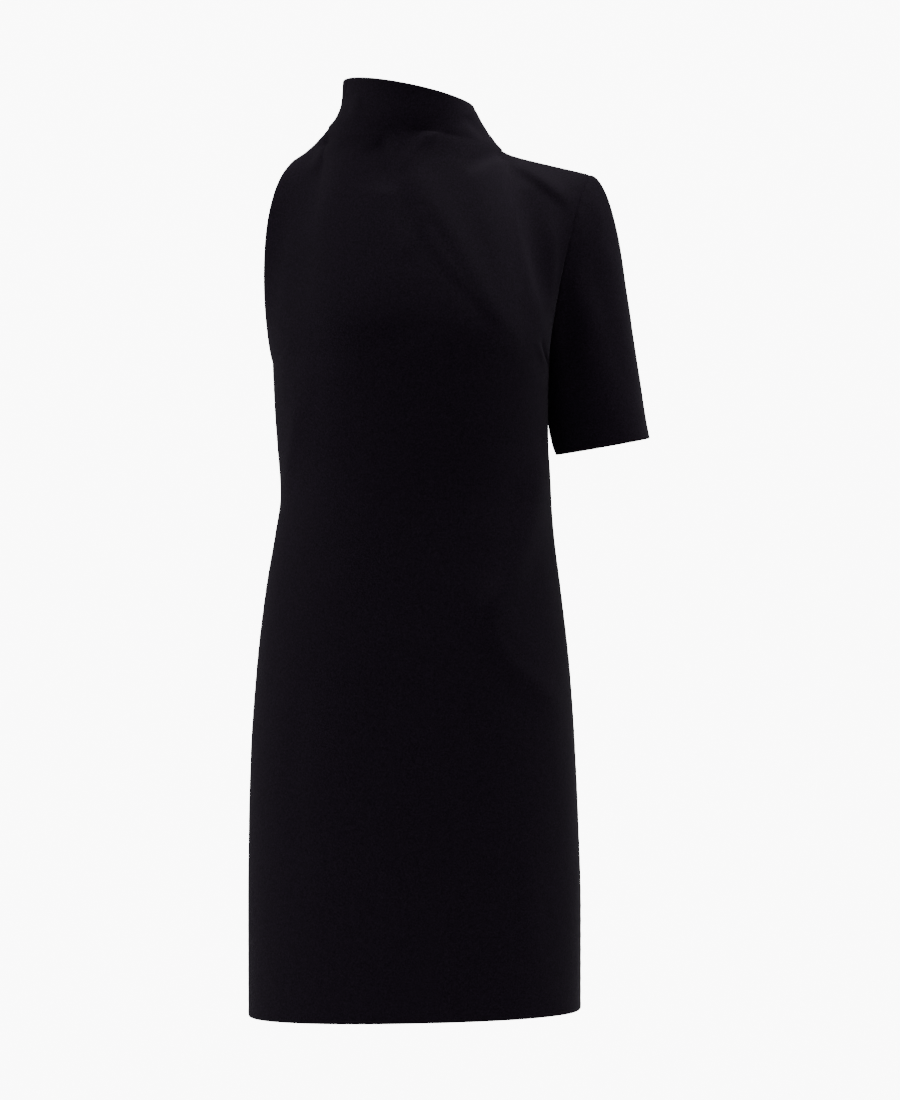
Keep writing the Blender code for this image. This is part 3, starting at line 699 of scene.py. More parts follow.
class Sheet:
    """A grid of cloth, kept by row and column, whose edges can be turned in along its own surface."""

    def __init__(self, index, points, uv, flipped=False):
        self.index = index
        self.points = points
        self.uv = uv
        self.quads = [
            (index[r, c], index[r, c + 1], index[r + 1, c + 1], index[r + 1, c])
            for r, c in index
            if (r, c + 1) in index and (r + 1, c) in index and (r + 1, c + 1) in index
        ]
        if flipped:
            self.quads = [quad[::-1] for quad in self.quads]
        self.read_normals()

    def read_normals(self):
        self.normals = normals_of(self.points, np.array(self.quads))

    def lift(self, by):
        self.points = self.points + self.normals * np.asarray(by)[:, None]
        self.read_normals()

    def soften(self, weights):
        """Rounds the cloth off where the weights are more than nothing."""
        pairs = {tuple(sorted(pair)) for quad in self.quads for pair in zip(quad, quad[1:] + quad[:1])}
        ends = np.array(list(pairs))
        for _ in range(SOFT_ROUNDS):
            total = np.zeros_like(self.points)
            count = np.zeros(len(self.points))
            for a, b in ((0, 1), (1, 0)):
                np.add.at(total, ends[:, a], self.points[ends[:, b]])
                np.add.at(count, ends[:, a], 1)
            mean = total / count[:, None]
            self.points = self.points + (mean - self.points) * 0.5 * weights[:, None]
        self.read_normals()

    def line_of(self, edge):
        return self.points[[self.index[key] for key in edge]]

    def distance_to(self, edge):
        return away_from(self.points, self.line_of(edge))[0]

    def calm_beside(self, seams):
        """Nothing at the seams and 1 away from them."""
        calm = np.ones(len(self.points))
        for seam in seams:
            calm *= 1 - np.exp(-((self.distance_to(seam.edge) / SEAM_CALM) ** 2))
        return calm

    def facing_at(self, edge, flattened):
        """The way that a seam faces, with the axis that its two pieces differ on left out."""
        facing = self.normals[[self.index[key] for key in edge]].copy()
        if flattened is not None:
            facing[:, flattened] = 0
        return facing / np.linalg.norm(facing, axis=1)[:, None]

    def sink(self, edge, flattened, strength=1.0):
        """Sinks the cloth towards a seam, with the small puckers that sewing leaves."""
        facing = self.facing_at(edge, flattened)
        distance, along, nearest = away_from(self.points, self.line_of(edge))
        dip = SEAM_DIP * np.exp(-((distance / SEAM_SOFT) ** 2))
        wave = np.sin(along / PUCKER_WAVE * math.tau + PUCKER_DRIFT * np.sin(along / DRIFT_WAVE))
        calm = 1 - np.exp(-((distance / SEAM_SOFT) ** 2))
        pucker = PUCKER * wave * calm * np.exp(-((distance / PUCKER_REACH) ** 2))
        self.points = self.points + facing[nearest] * ((pucker - dip) * strength)[:, None]

    def turn_in(self, edge, step, turns, depth, flattened=None):
        """Turns the cloth in at an edge. Step leads from the edge into the panel."""
        ids = [self.index[key] for key in edge]
        facing = self.facing_at(edge, flattened)
        rows = list(turns)
        while rows[-1].across * MM < depth:
            rows.append(Turn(min(rows[-1].across + TURN_STEP, depth / MM), rows[-1].deep))
        reaches = np.array([turn.across for turn in rows]) * MM
        depths = np.array([turn.deep for turn in rows]) * MM
        made = np.zeros((len(rows), len(ids), 3))
        for place, (row, column) in enumerate(edge):
            chain = [ids[place]]
            while len(chain) < TURN_CHAIN and (row + step[0], column + step[1]) in self.index:
                row, column = row + step[0], column + step[1]
                chain.append(self.index[row, column])
            path = self.points[chain]
            normals = self.normals[chain].copy()
            normals[0] = facing[place]
            lengths = np.concatenate(([0], np.cumsum(np.linalg.norm(np.diff(path, axis=0), axis=1))))
            first = (path[1] - path[0]) / max(lengths[1], TINY)
            for axis in range(3):
                on_cloth = np.interp(reaches, lengths, path[:, axis])
                on_cloth += np.minimum(reaches, 0) * first[axis]
                made[:, place, axis] = on_cloth - depths * np.interp(reaches, lengths, normals[:, axis])
        last = ids
        for row, points in enumerate(made):
            start = len(self.points)
            self.points = np.concatenate((self.points, points))
            shift = np.array(step[::-1]) * (reaches[row] - depths[row])
            self.uv = np.concatenate((self.uv, self.uv[ids] + shift))
            fresh = list(range(start, start + len(points)))
            for i in range(len(ids) - 1):
                self.quads.append((last[i], last[i + 1], fresh[i + 1], fresh[i]))
            last = fresh


def make_cloth(name, sheet, facing, thickness, material):
    """A thin shell from a sheet, facing out at its first face."""
    mesh = bmesh.new()
    verts = [mesh.verts.new(point) for point in sheet.points]
    layer = mesh.loops.layers.uv.new("cloth")
    for quad in sheet.quads:
        face = mesh.faces.new([verts[i] for i in quad])
        face.smooth = True
        for loop, i in zip(face.loops, quad):
            loop[layer].uv = sheet.uv[i]
    bmesh.ops.recalc_face_normals(mesh, faces=mesh.faces)
    mesh.faces.ensure_lookup_table()
    if mesh.faces[0].normal.dot(facing) < 0:
        bmesh.ops.reverse_faces(mesh, faces=mesh.faces)
    data = bpy.data.meshes.new(name)
    mesh.to_mesh(data)
    mesh.free()
    piece = bpy.data.objects.new(name, data)
    bpy.context.scene.collection.objects.link(piece)
    data.materials.append(material)
    wall = piece.modifiers.new("thickness", "SOLIDIFY")
    wall.thickness = thickness
    wall.offset = -1
    wall.use_quality_normals = True
    return settle(piece)


def settle(piece):
    """Turns what the modifiers make into the piece's own mesh."""
    bpy.context.view_layer.update()
    graph = bpy.context.evaluated_depsgraph_get()
    data = bpy.data.meshes.new_from_object(piece.evaluated_get(graph))
    data.name = piece.name
    piece.modifiers.clear()
    old = piece.data
    if isinstance(old, bpy.types.Mesh):
        piece.data = data
        bpy.data.meshes.remove(old)
        return piece
    name = piece.name
    bpy.data.objects.remove(piece)
    made = bpy.data.objects.new(name, data)
    bpy.context.scene.collection.objects.link(made)
    return made


def spread(start, end, count, edges):
    """Even steps from start to end, with finer ones beside each edge. An edge has its place and length."""
    fixed = {round(value, 6) for value in (start, end, *(edge for edge, _ in edges))}
    close = {
        round(edge + sign * step * MM / length, 6)
        for edge, length in edges
        for step in EDGE_STEPS
        for sign in (-1, 1)
    }
    keep = sorted(value for value in fixed | close if start <= value <= end)
    room = min(EDGE_STEPS[-1] * MM / length for _, length in edges) * EDGE_ROOM
    steps = np.linspace(start, end, count + 1)
    even = [value for value in steps if min(abs(value - kept) for kept in keep) > room]
    return np.array(sorted(keep + even))


def away_from(points, line):
    """Each point's distance from a line of points, how far along it is, and the nearest of them."""
    lengths = np.concatenate(([0], np.cumsum(np.linalg.norm(np.diff(line, axis=0), axis=1))))
    best = np.full(len(points), 1.0)
    along = np.zeros(len(points))
    nearest = np.zeros(len(points), dtype=int)
    low, high = line.min(axis=0) - SEAM_NEAR, line.max(axis=0) + SEAM_NEAR
    near = np.nonzero(((points > low) & (points < high)).all(axis=1))[0]
    for i in range(len(line) - 1):
        run = line[i + 1] - line[i]
        reach = points[near] - line[i]
        share = np.clip(reach @ run / max(run @ run, TINY), 0, 1)
        away = np.linalg.norm(reach - share[:, None] * run, axis=1)
        closer = away < best[near]
        best[near[closer]] = away[closer]
        along[near[closer]] = (lengths[i] + share * (lengths[i + 1] - lengths[i]))[closer]
        nearest[near[closer]] = (i + np.round(share)).astype(int)[closer]
    return best, along, nearest


Seam = namedtuple("Seam", "edge step flattened")
ALONG_X, ALONG_Y = 0, 1


def upright(column, low, high):
    """The places of a grid up a column."""
    return [(row, column) for row in range(low, high + 1)]


def level(row, low, high):
    """The places of a grid along a row."""
    return [(row, column) for column in range(low, high + 1)]


def panel_sheet(side, t_from, t_to, settings):
    """One cut piece of the body, with its seams sunk and its edges turned in."""
    ts = spread(
        t_from,
        t_to,
        round(COLUMNS * (t_to - t_from) / 2),
        [(t, HALF_BODY) for t in (t_from, t_to, -NECK_SHARE, NECK_SHARE) if t_from <= t <= t_to],
    )
    skirt = spread(0, 1, SKIRT_FINE, [(0, UNDERARM_Z - HEM_Z), (1, UNDERARM_Z - HEM_Z)])
    yoke = spread(1, 2, YOKE_FINE, [(2, YOKE_TALL)])
    neck = spread(2, 3, NECK_FINE, [(2, NECK_TALL), (3, NECK_TALL)])
    highs = np.concatenate((skirt[:-1], yoke[:-1], neck))
    arm_row, base_row, top_row = len(skirt) - 1, len(skirt) + len(yoke) - 2, len(highs) - 1
    on_neck = [c for c, t in enumerate(ts) if abs(t) <= NECK_SHARE + 1e-6]
    keys = [
        (row, column)
        for row in range(len(highs))
        for column in (range(len(ts)) if row <= base_row else on_neck)
    ]
    index = {key: place for place, key in enumerate(keys)}
    grid = np.array(keys)
    points = body_surface(highs[grid[:, 0]], ts[grid[:, 1]], side)
    sheet = Sheet(index, points, grid_uv(points, index, ts), flipped=side == "back")

    last, left, right = len(ts) - 1, on_neck[0], on_neck[-1]
    seams = []
    folds = [
        (level(0, 0, last), (1, 0), settings.hem_turning),
        (level(top_row, left, right), (-1, 0), settings.neck_turning),
    ]
    if t_from == -1:
        seams.append(Seam(upright(0, 0, arm_row), (0, 1), ALONG_Y))
        seams.append(Seam(level(base_row, 0, left), (-1, 0), ALONG_Y))
        seams.append(Seam(upright(left, base_row, top_row), (0, 1), ALONG_Y))
        folds.append((upright(0, arm_row, base_row), (0, 1), settings.neck_turning))
    else:
        seams.append(Seam(upright(0, 0, top_row), (0, 1), ALONG_X))
    if t_to == 1:
        seams.append(Seam(upright(last, 0, arm_row), (0, -1), ALONG_Y))
        seams.append(Seam(upright(last, arm_row, base_row), (0, -1), ALONG_X))
        seams.append(Seam(level(base_row, right, last), (-1, 0), ALONG_Y))
        seams.append(Seam(upright(right, base_row, top_row), (0, -1), ALONG_Y))
    else:
        seams.append(Seam(upright(last, 0, top_row), (0, -1), ALONG_X))

    calm = sheet.calm_beside(seams)
    rounded = [level(base_row, left, right)]
    rounded += [upright(column, arm_row, base_row) for column in (left, right)]
    near = np.min([sheet.distance_to(line) for line in rounded], axis=0)
    sheet.soften(calm * np.exp(-((near / SOFT_REACH) ** 2)))
    shape_cloth(sheet, side, settings.crease_strength, calm)
    for seam in seams:
        sheet.sink(seam.edge, seam.flattened)
    sheet.read_normals()
    for seam in seams:
        sheet.turn_in(seam.edge, seam.step, SEAM_EDGE, ALLOWANCE, seam.flattened)
    for edge, step, turning in folds:
        sheet.turn_in(edge, step, FOLD_EDGE, turning)
    return sheet


def grid_uv(points, index, ts):
    """Distances over the cloth in metres: across from the middle, and up from the hem."""
    uv = np.zeros((len(points), 2))
    middle = int(np.argmin(np.abs(ts)))
    rows, columns = {}, {}
    for row, column in index:
        rows.setdefault(row, []).append((column, index[row, column]))
        columns.setdefault(column, []).append((row, index[row, column]))
    for held in rows.values():
        names, ids = zip(*sorted(held))
        run = np.concatenate(([0], np.cumsum(np.linalg.norm(np.diff(points[list(ids)], axis=0), axis=1))))
        uv[list(ids), 0] = run - run[names.index(middle) if middle in names else 0]
    for held in columns.values():
        ids = [place for _, place in sorted(held)]
        uv[ids, 1] = np.concatenate(([0], np.cumsum(np.linalg.norm(np.diff(points[ids], axis=0), axis=1))))
    return uv


def shape_cloth(sheet, side, strength, calm):
    """Lifts the creases, the darts and the cloth's small unevenness, and leaves the seams calm."""
    points = sheet.points
    lift = crease_lift(points, side, CREASES) * strength
    lift += crease_lift(points, side, DARTS) + crease_lift(points, side, DART_LIP)
    lift += wander(points, BODY_WAVES)
    sheet.lift(lift * calm)


def arm_loop(round_share):
    """The left armhole's edge: up the front from the underarm and down the back."""
    share = np.asarray(round_share) % 1
    high = 1 + np.where(share <= 0.5, share * 2, 2 - share * 2)
    front = body_surface(high, np.ones_like(high), "front")
    back = body_surface(high, np.ones_like(high), "back")
    return np.where((share <= 0.5)[..., None], front, back)


def sleeve_surface(round_share, down):
    """Round runs from the underarm up the front and down the back, down from armhole to cuff."""
    angle = math.tau * round_share
    raised = np.sin(angle / 2) ** 2
    outward = places(1.0, 0.0, -CAP_DROOP * raised)
    outward /= np.linalg.norm(outward, axis=-1)[..., None]
    start = arm_loop(round_share) + outward * SEAM_GAP
    end = CUFF_CENTRE - CUFF_ACROSS / 2 * np.cos(angle)[..., None]
    end[..., 1] -= CUFF_HALF_DEPTH * np.sin(angle)
    leave = lerp(LEAVE_ARMHOLE.underarm, LEAVE_ARMHOLE.shoulder, raised**CAP_ROUND)
    reach = lerp(REACH_CUFF.underarm, REACH_CUFF.shoulder, raised)
    beside = (1 - raised[..., None]) ** 4
    leaving = outward * leave[..., None] + UNDERARM_LEAVE * beside
    arriving = -ARM_DROP * reach[..., None] + UNDERARM_REACH * beside
    return bezier(start, leaving, arriving, end, down)


def pleat_lift(rounds, downs):
    """The sleeve's own soft folds."""
    lift = np.zeros(len(rounds))
    for pleat in PLEATS:
        share = np.clip((downs - pleat.down1) / (pleat.down2 - pleat.down1), 0, 1)
        centre = lerp(pleat.round1, pleat.round2, share)
        aside = np.abs((rounds - centre + 0.5) % 1 - 0.5)
        fade = 1 - np.abs(2 * share - 1) ** 3
        lift += pleat.high * MM * np.exp(-((aside / pleat.wide) ** 2)) * fade
    return lift


def sleeve_sheet(settings):
    """The sleeve: a tube with its armhole seam, its underarm seam and its cuff turned in."""
    downs = spread(0, 1, SLEEVE_DOWN, [(0, SLEEVE_LONG), (1, SLEEVE_LONG)])
    around = spread(0, 1, SLEEVE_AROUND, [(0, SLEEVE_LONG), (1, SLEEVE_LONG)])
    rounds, depths = np.meshgrid(around, downs)
    points = sleeve_surface(rounds, depths).reshape(-1, 3)
    keys = [(row, column) for row in range(len(downs)) for column in range(len(around))]
    index = {key: place for place, key in enumerate(keys)}
    sheet = Sheet(index, points, grid_uv(points, index, around), flipped=True)
    last_row, last = len(downs) - 1, len(around) - 1
    armhole = Seam(level(0, 0, last), (1, 0), ALONG_X)
    underarm = Seam(upright(0, 0, last_row), (0, 1), ALONG_Y)
    beside = Seam(upright(last, 0, last_row), (0, -1), ALONG_Y)
    calm = sheet.calm_beside((armhole, underarm))
    lift = pleat_lift(rounds.ravel(), depths.ravel()) * settings.crease_strength
    lift += wander(points, SLEEVE_WAVES)
    sheet.lift(lift * calm)
    sheet.sink(armhole.edge, armhole.flattened)
    sheet.sink(underarm.edge, underarm.flattened, UNDERARM_SINK)
    sheet.read_normals()
    for seam in (armhole, underarm, beside):
        sheet.turn_in(seam.edge, seam.step, SEAM_EDGE, SLEEVE_ALLOWANCE, seam.flattened)
    sheet.turn_in(level(last_row, 0, last), (-1, 0), FOLD_EDGE, settings.neck_turning)
    return sheet


def levels_of(rows):
    """Heights, as body_surface reads them, of rows of the solids' grid."""
    arm, base = SKIRT_ROWS, SKIRT_ROWS + YOKE_ROWS
    above = np.where(rows <= base, 1 + (rows - arm) / YOKE_ROWS, 2 + (rows - base) / NECK_ROWS)
    return np.where(rows <= arm, rows / arm, above)


def seam_line(levels, inside):
    """The centre back seam's line inside the cloth, and the way that it faces."""
    line = body_surface(levels, np.zeros_like(levels), "back")
    run = np.gradient(line, axis=0)
    run /= np.linalg.norm(run, axis=1)[:, None]
    out = np.cross(np.array((-1.0, 0, 0)), run)
    out *= np.sign(out[:, 1])[:, None]
    out /= np.linalg.norm(out, axis=1)[:, None]
    return line - out * inside, out


def tape_sheet():
    """The zip's tape behind the centre back seam, with the line of its coil."""
    inside = CLOTH_SOLID + TAPE_GAP
    top_row = SKIRT_ROWS + YOKE_ROWS + NECK_ROWS - 1
    levels = levels_of(np.linspace(TAPE_LOW_ROW, top_row, TAPE_STEPS))
    line, out = seam_line(levels, inside)
    shares = np.linspace(-1, 1, TAPE_COLUMNS)
    columns = []
    for share in shares:
        t = np.full_like(levels, share * TAPE_HALF_WIDTH / BACK_HALF)
        reach = body_surface(levels, t, "back") - out * inside - line
        length = np.linalg.norm(reach, axis=1)[:, None]
        columns.append(line + reach * abs(share) * TAPE_HALF_WIDTH / np.maximum(length, TINY))
    grid = np.stack(columns, axis=1)
    uv = np.stack(np.meshgrid(shares * TAPE_HALF_WIDTH, np.linspace(0, TAPE_LONG, TAPE_STEPS)), axis=-1)
    index = {key: place for place, key in enumerate(np.ndindex(grid.shape[:2]))}
    sheet = Sheet(index, grid.reshape(-1, 3), uv.reshape(-1, 2), flipped=True)
    return sheet, line - out * THREAD_INSIDE


def link(tree, from_socket, to_socket):
    tree.links.new(from_socket, to_socket)


def add_node(tree, kind, inputs=(), **fields):
    """A new node with its fields set. Each of its inputs gets a value, or a link from a socket."""
    node = tree.nodes.new(kind)
    for name, value in fields.items():
        setattr(node, name, value)
    for name, value in dict(inputs).items():
        if isinstance(value, bpy.types.NodeSocket):
            link(tree, value, node.inputs[name])
        else:
            node.inputs[name].default_value = value
    return node


def base_material(name, roughness, metallic=0.0):
    material = bpy.data.materials.new(name)
    material.use_nodes = True
    shader = material.node_tree.nodes["Principled BSDF"]
    shader.inputs["Roughness"].default_value = roughness
    shader.inputs["Metallic"].default_value = metallic
    return material, material.node_tree, shader


def mixed_colour(tree, factor, low, high):
    ramp = add_node(tree, "ShaderNodeValToRGB", {"Fac": factor})
    for stop, colour, place in zip(ramp.color_ramp.elements, (low, high), (0.3, 0.7)):
        stop.color = (*colour, 1)
        stop.position = place
    return ramp.outputs["Color"]


def noise_texture(tree, vector, scale, detail, roughness=0.5):
    inputs = {"Vector": vector, "Scale": scale, "Detail": detail, "Roughness": roughness}
    return add_node(tree, "ShaderNodeTexNoise", inputs).outputs["Fac"]


def add_bump(tree, shader, height, strength, distance):
    inputs = {"Height": height, "Strength": strength, "Distance": distance}
    bump = add_node(tree, "ShaderNodeBump", inputs)
    link(tree, bump.outputs["Normal"], shader.inputs["Normal"])


def vary_roughness(tree, shader, value, low, high):
    rough = add_node(tree, "ShaderNodeMapRange", {"Value": value, "To Min": low, "To Max": high})
    link(tree, rough.outputs["Result"], shader.inputs["Roughness"])


def crepe_material(settings):
    """Black crepe: a pebbled grain of twisted yarn, a dry surface and a soft sheen."""
    material, tree, shader = base_material("black_crepe", 0.78)
    place = add_node(tree, "ShaderNodeTexCoord")
    solid = place.outputs["Object"]
    grain = 1 / settings.grain_size
    sizes = {"Vector": solid, "Scale": grain, "Smoothness": 0.6}
    pebbles = add_node(tree, "ShaderNodeTexVoronoi", sizes, feature="SMOOTH_F1")
    sizes = {"Vector": place.outputs["UV"], "Scale": grain * 0.35, "Distortion": 3.0, "Detail": 2.0}
    yarn = add_node(tree, "ShaderNodeTexWave", sizes, wave_type="BANDS", bands_direction="X")
    speckle = noise_texture(tree, solid, grain * 0.62, 4.0, 0.75)
    cloud = noise_texture(tree, solid, 9.0, 3.0)
    parts = {"Factor": 0.35, "A": pebbles.outputs["Distance"], "B": yarn.outputs["Fac"]}
    height = add_node(tree, "ShaderNodeMix", parts, data_type="FLOAT")
    both = add_node(tree, "ShaderNodeMath", {0: height.outputs["Result"], 1: speckle}, operation="ADD")
    add_bump(tree, shader, both.outputs["Value"], 0.55, 0.00022)
    colour = np.array(settings.cloth_colour)
    fine = mixed_colour(tree, speckle, colour * 0.1, colour * 2.5)
    broad = mixed_colour(tree, cloud, colour * 0.9, colour * 1.12)
    blend = add_node(tree, "ShaderNodeMix", {"Factor": 0.25, "A": fine, "B": broad}, data_type="RGBA")
    link(tree, blend.outputs["Result"], shader.inputs["Base Color"])
    vary_roughness(tree, shader, speckle, 0.7, 0.86)
    shader.inputs["Specular IOR Level"].default_value = 0.05
    shader.inputs["Sheen Weight"].default_value = settings.sheen
    shader.inputs["Sheen Roughness"].default_value = 0.42
    shader.inputs["Sheen Tint"].default_value = (0.86, 0.82, 0.95, 1)
    return material


def tape_material(settings):
    """Woven zip tape: fine ribs across a black strip."""
    material, tree, shader = base_material("black_zip_tape", 0.7)
    place = add_node(tree, "ShaderNodeTexCoord")
    sizes = {"Vector": place.outputs["Object"], "Scale": 520, "Distortion": 0.6}
    ribs = add_node(tree, "ShaderNodeTexWave", sizes, bands_direction="Z").outputs["Fac"]
    add_bump(tree, shader, ribs, 0.5, 0.00015)
    colour = np.array(settings.cloth_colour)
    link(tree, mixed_colour(tree, ribs, colour * 0.8, colour * 1.4), shader.inputs["Base Color"])
    return material


def thread_material(settings):
    """Twisted black thread."""
    material, tree, shader = base_material("black_thread", 0.5)
    place = add_node(tree, "ShaderNodeTexCoord")
    twist = noise_texture(tree, place.outputs["Object"], 2400.0, 2.0)
    colour = np.array(settings.cloth_colour)
    link(tree, mixed_colour(tree, twist, colour * 1.1, colour * 2.2), shader.inputs["Base Color"])
    shader.inputs["Sheen Weight"].default_value = 0.1
    return material


def metal_material(settings):
    """Black lacquer over die-cast metal, slightly uneven in its colour and its shine."""
    material, tree, shader = base_material("black_lacquered_metal", 0.32, 0.6)
    place = add_node(tree, "ShaderNodeTexCoord")
    uneven = noise_texture(tree, place.outputs["Object"], 700.0, 3.0)
    colour = np.array(settings.metal_colour)
    link(tree, mixed_colour(tree, uneven, colour * 0.85, colour * 1.35), shader.inputs["Base Color"])
    vary_roughness(tree, shader, uneven, 0.26, 0.4)
    add_bump(tree, shader, uneven, 0.12, 0.0001)
    shader.inputs["Coat Weight"].default_value = 0.5
    shader.inputs["Coat Roughness"].default_value = 0.2
    return material


def shared_material(name, make, settings):
    """The material of a name, made once."""
    return bpy.data.materials.get(name) or make(settings)


def crepe(context):
    return shared_material("black_crepe", crepe_material, context.scene.dress_settings)


def finish_cloth(piece, node):
    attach(piece, DRESS)
    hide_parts(node)


class DRESS_OT_front(bpy.types.Operator):
    """Makes the front panel with its half of the funnel neck."""

    bl_idname = "dress.front"
    bl_label = "Front"

    def execute(self, context):
        settings = context.scene.dress_settings
        sheet = panel_sheet("front", -1, 1, settings)
        facing = Vector((0, -1, 0))
        piece = make_cloth("crepe_front", sheet, facing, settings.cloth_thickness, crepe(context))
        finish_cloth(piece, "front")
        return {"FINISHED"}


class DRESS_OT_backs(bpy.types.Operator):
    """Makes the two back panels, which meet at the zip."""

    bl_idname = "dress.backs"
    bl_label = "Backs"

    def execute(self, context):
        settings = context.scene.dress_settings
        for word, t_from, t_to in (("right", -1, 0), ("left", 0, 1)):
            sheet = panel_sheet("back", t_from, t_to, settings)
            name = f"crepe_back_{word}"
            piece = make_cloth(name, sheet, Vector((0, 1, 0)), settings.cloth_thickness, crepe(context))
            finish_cloth(piece, f"back_{word}")
        return {"FINISHED"}


class DRESS_OT_sleeve(bpy.types.Operator):
    """Makes the short sleeve on the wearer's left."""

    bl_idname = "dress.sleeve"
    bl_label = "Sleeve"

    def execute(self, context):
        settings = context.scene.dress_settings
        sheet = sleeve_sheet(settings)
        facing = Vector(sheet.normals[0])
        piece = make_cloth("crepe_sleeve", sheet, facing, settings.cloth_thickness, crepe(context))
        finish_cloth(piece, "sleeve_left")
        return {"FINISHED"}


def repeat_tree(name, sizes):
    """Repeats a small ring along a line: a group with a named input for each of its sizes."""
    tree = bpy.data.node_groups.new(name, "GeometryNodeTree")
    face = tree.interface
    face.new_socket("Geometry", in_out="INPUT", socket_type="NodeSocketGeometry")
    kinds = {word: "NodeSocketFloat" for word in sizes} | {"Material": "NodeSocketMaterial"}
    inputs = {}
    for word, kind in kinds.items():
        inputs[word] = face.new_socket(word, in_out="INPUT", socket_type=kind).identifier
    face.new_socket("Geometry", in_out="OUTPUT", socket_type="NodeSocketGeometry")
    given = add_node(tree, "NodeGroupInput").outputs
    line = {"Curve": given["Geometry"], "Length": given["Spacing"]}
    resample = add_node(tree, "GeometryNodeResampleCurve", line, mode="LENGTH")
    circle = {"Resolution": RING_SIDES, "Radius": given["Ring radius"]}
    ring = add_node(tree, "GeometryNodeCurvePrimitiveCircle", circle)
    circle = {"Resolution": WIRE_SIDES, "Radius": given["Wire radius"]}
    wire = add_node(tree, "GeometryNodeCurvePrimitiveCircle", circle)
    curves = {"Curve": ring.outputs["Curve"], "Profile Curve": wire.outputs["Curve"]}
    tube = add_node(tree, "GeometryNodeCurveToMesh", curves)
    tangent = add_node(tree, "GeometryNodeInputTangent").outputs["Tangent"]
    aim = add_node(tree, "FunctionNodeAlignRotationToVector", {"Vector": tangent}, axis="Z")
    tilt = add_node(tree, "ShaderNodeCombineXYZ", {"X": given["Tilt"]})
    euler = add_node(tree, "FunctionNodeEulerToRotation", {"Euler": tilt.outputs["Vector"]})
    turns = {"Rotation": aim.outputs["Rotation"], "Rotate By": euler.outputs["Rotation"]}
    turn = add_node(tree, "FunctionNodeRotateRotation", turns, rotation_space="LOCAL")
    copies = {
        "Points": resample.outputs["Curve"],
        "Instance": tube.outputs["Mesh"],
        "Rotation": turn.outputs["Rotation"],
    }
    place = add_node(tree, "GeometryNodeInstanceOnPoints", copies)
    solid = add_node(tree, "GeometryNodeRealizeInstances", {"Geometry": place.outputs["Instances"]})
    surface = {"Geometry": solid.outputs["Geometry"], "Material": given["Material"]}
    paint = add_node(tree, "GeometryNodeSetMaterial", surface)
    add_node(tree, "NodeGroupOutput", {"Geometry": paint.outputs["Geometry"]})
    return tree, inputs


def repeated_piece(name, lines, material, sizes):
    """A piece of rings that repeat along lines, as one plain mesh."""
    curve = bpy.data.curves.new(name, "CURVE")
    curve.dimensions = "3D"
    for line in lines:
        spline = curve.splines.new("POLY")
        spline.points.add(len(line) - 1)
        spline.points.foreach_set("co", np.c_[line, np.ones(len(line))].ravel())
    piece = bpy.data.objects.new(name, curve)
    bpy.context.scene.collection.objects.link(piece)
    tree, inputs = repeat_tree(name + "_nodes", sizes)
    modifier = piece.modifiers.new("repeat", "NODES")
    modifier.node_group = tree
    for word, value in sizes.items():
        modifier[inputs[word]] = value
    modifier[inputs["Material"]] = material
    return settle(piece)


class DRESS_OT_hem_stitches(bpy.types.Operator):
    """Makes the catch stitches that hold the hem's turning inside the skirt."""

    bl_idname = "dress.hem_stitches"
    bl_label = "Hem stitches"

    def execute(self, context):
        settings = context.scene.dress_settings
        thread = shared_material("black_thread", thread_material, settings)
        share = (settings.hem_turning - STITCH_BELOW) / (UNDERARM_Z - HEM_Z)
        ts = np.linspace(-STITCH_REACH, STITCH_REACH, STITCH_STEPS)
        lines = []
        for side, sign in (("front", 1), ("back", -1)):
            line = body_surface(np.full_like(ts, share), ts, side)
            below = body_surface(np.full_like(ts, share - STITCH_SLOPE), ts, side)
            out = np.cross(np.gradient(line, axis=0), line - below) * sign
            out /= np.linalg.norm(out, axis=1)[:, None]
            lines.append(line - out * THREAD_INSIDE)
        sizes = {
            "Spacing": settings.stitch_spacing,
            "Ring radius": STITCH_RING,
            "Wire radius": STITCH_WIRE,
            "Tilt": STITCH_TILT,
        }
        piece = repeated_piece("hem_catch_stitches", lines, thread, sizes)
        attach(piece, DRESS)
        return {"FINISHED"}


class DRESS_OT_zip_tape(bpy.types.Operator):
    """Makes the zip's tape and coil, behind the centre back seam."""

    bl_idname = "dress.zip_tape"
    bl_label = "Zip tape and coil"

    def execute(self, context):
        settings = context.scene.dress_settings
        zip_settings = context.scene.zip_settings
        sheet, coil_line = tape_sheet()
        woven = shared_material("black_zip_tape", tape_material, settings)
        facing = Vector((0, 1, 0))
        tape = make_cloth("zip_tape_woven", sheet, facing, settings.cloth_thickness, woven)
        thread = shared_material("black_thread", thread_material, settings)
        sizes = {
            "Spacing": zip_settings.coil_pitch,
            "Ring radius": zip_settings.coil_radius,
            "Wire radius": COIL_WIRE,
            "Tilt": COIL_TILT,
        }
        coil = repeated_piece("zip_coil", [coil_line], thread, sizes)
        for piece in (tape, coil):
            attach(piece, DRESS)
        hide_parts("zip_tape")
        return {"FINISHED"}


class DRESS_OT_zip_hardware(bpy.types.Operator):
    """Gives the zip's slider and pull their lacquered finish."""

    bl_idname = "dress.zip_hardware"
    bl_label = "Zip slider and pull"

    def execute(self, context):
        metal = shared_material("black_lacquered_metal", metal_material, context.scene.zip_settings)
        for node in ("zip_slider", "zip_pull"):
            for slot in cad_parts[node].material_slots:
                slot.material = metal
        return {"FINISHED"}


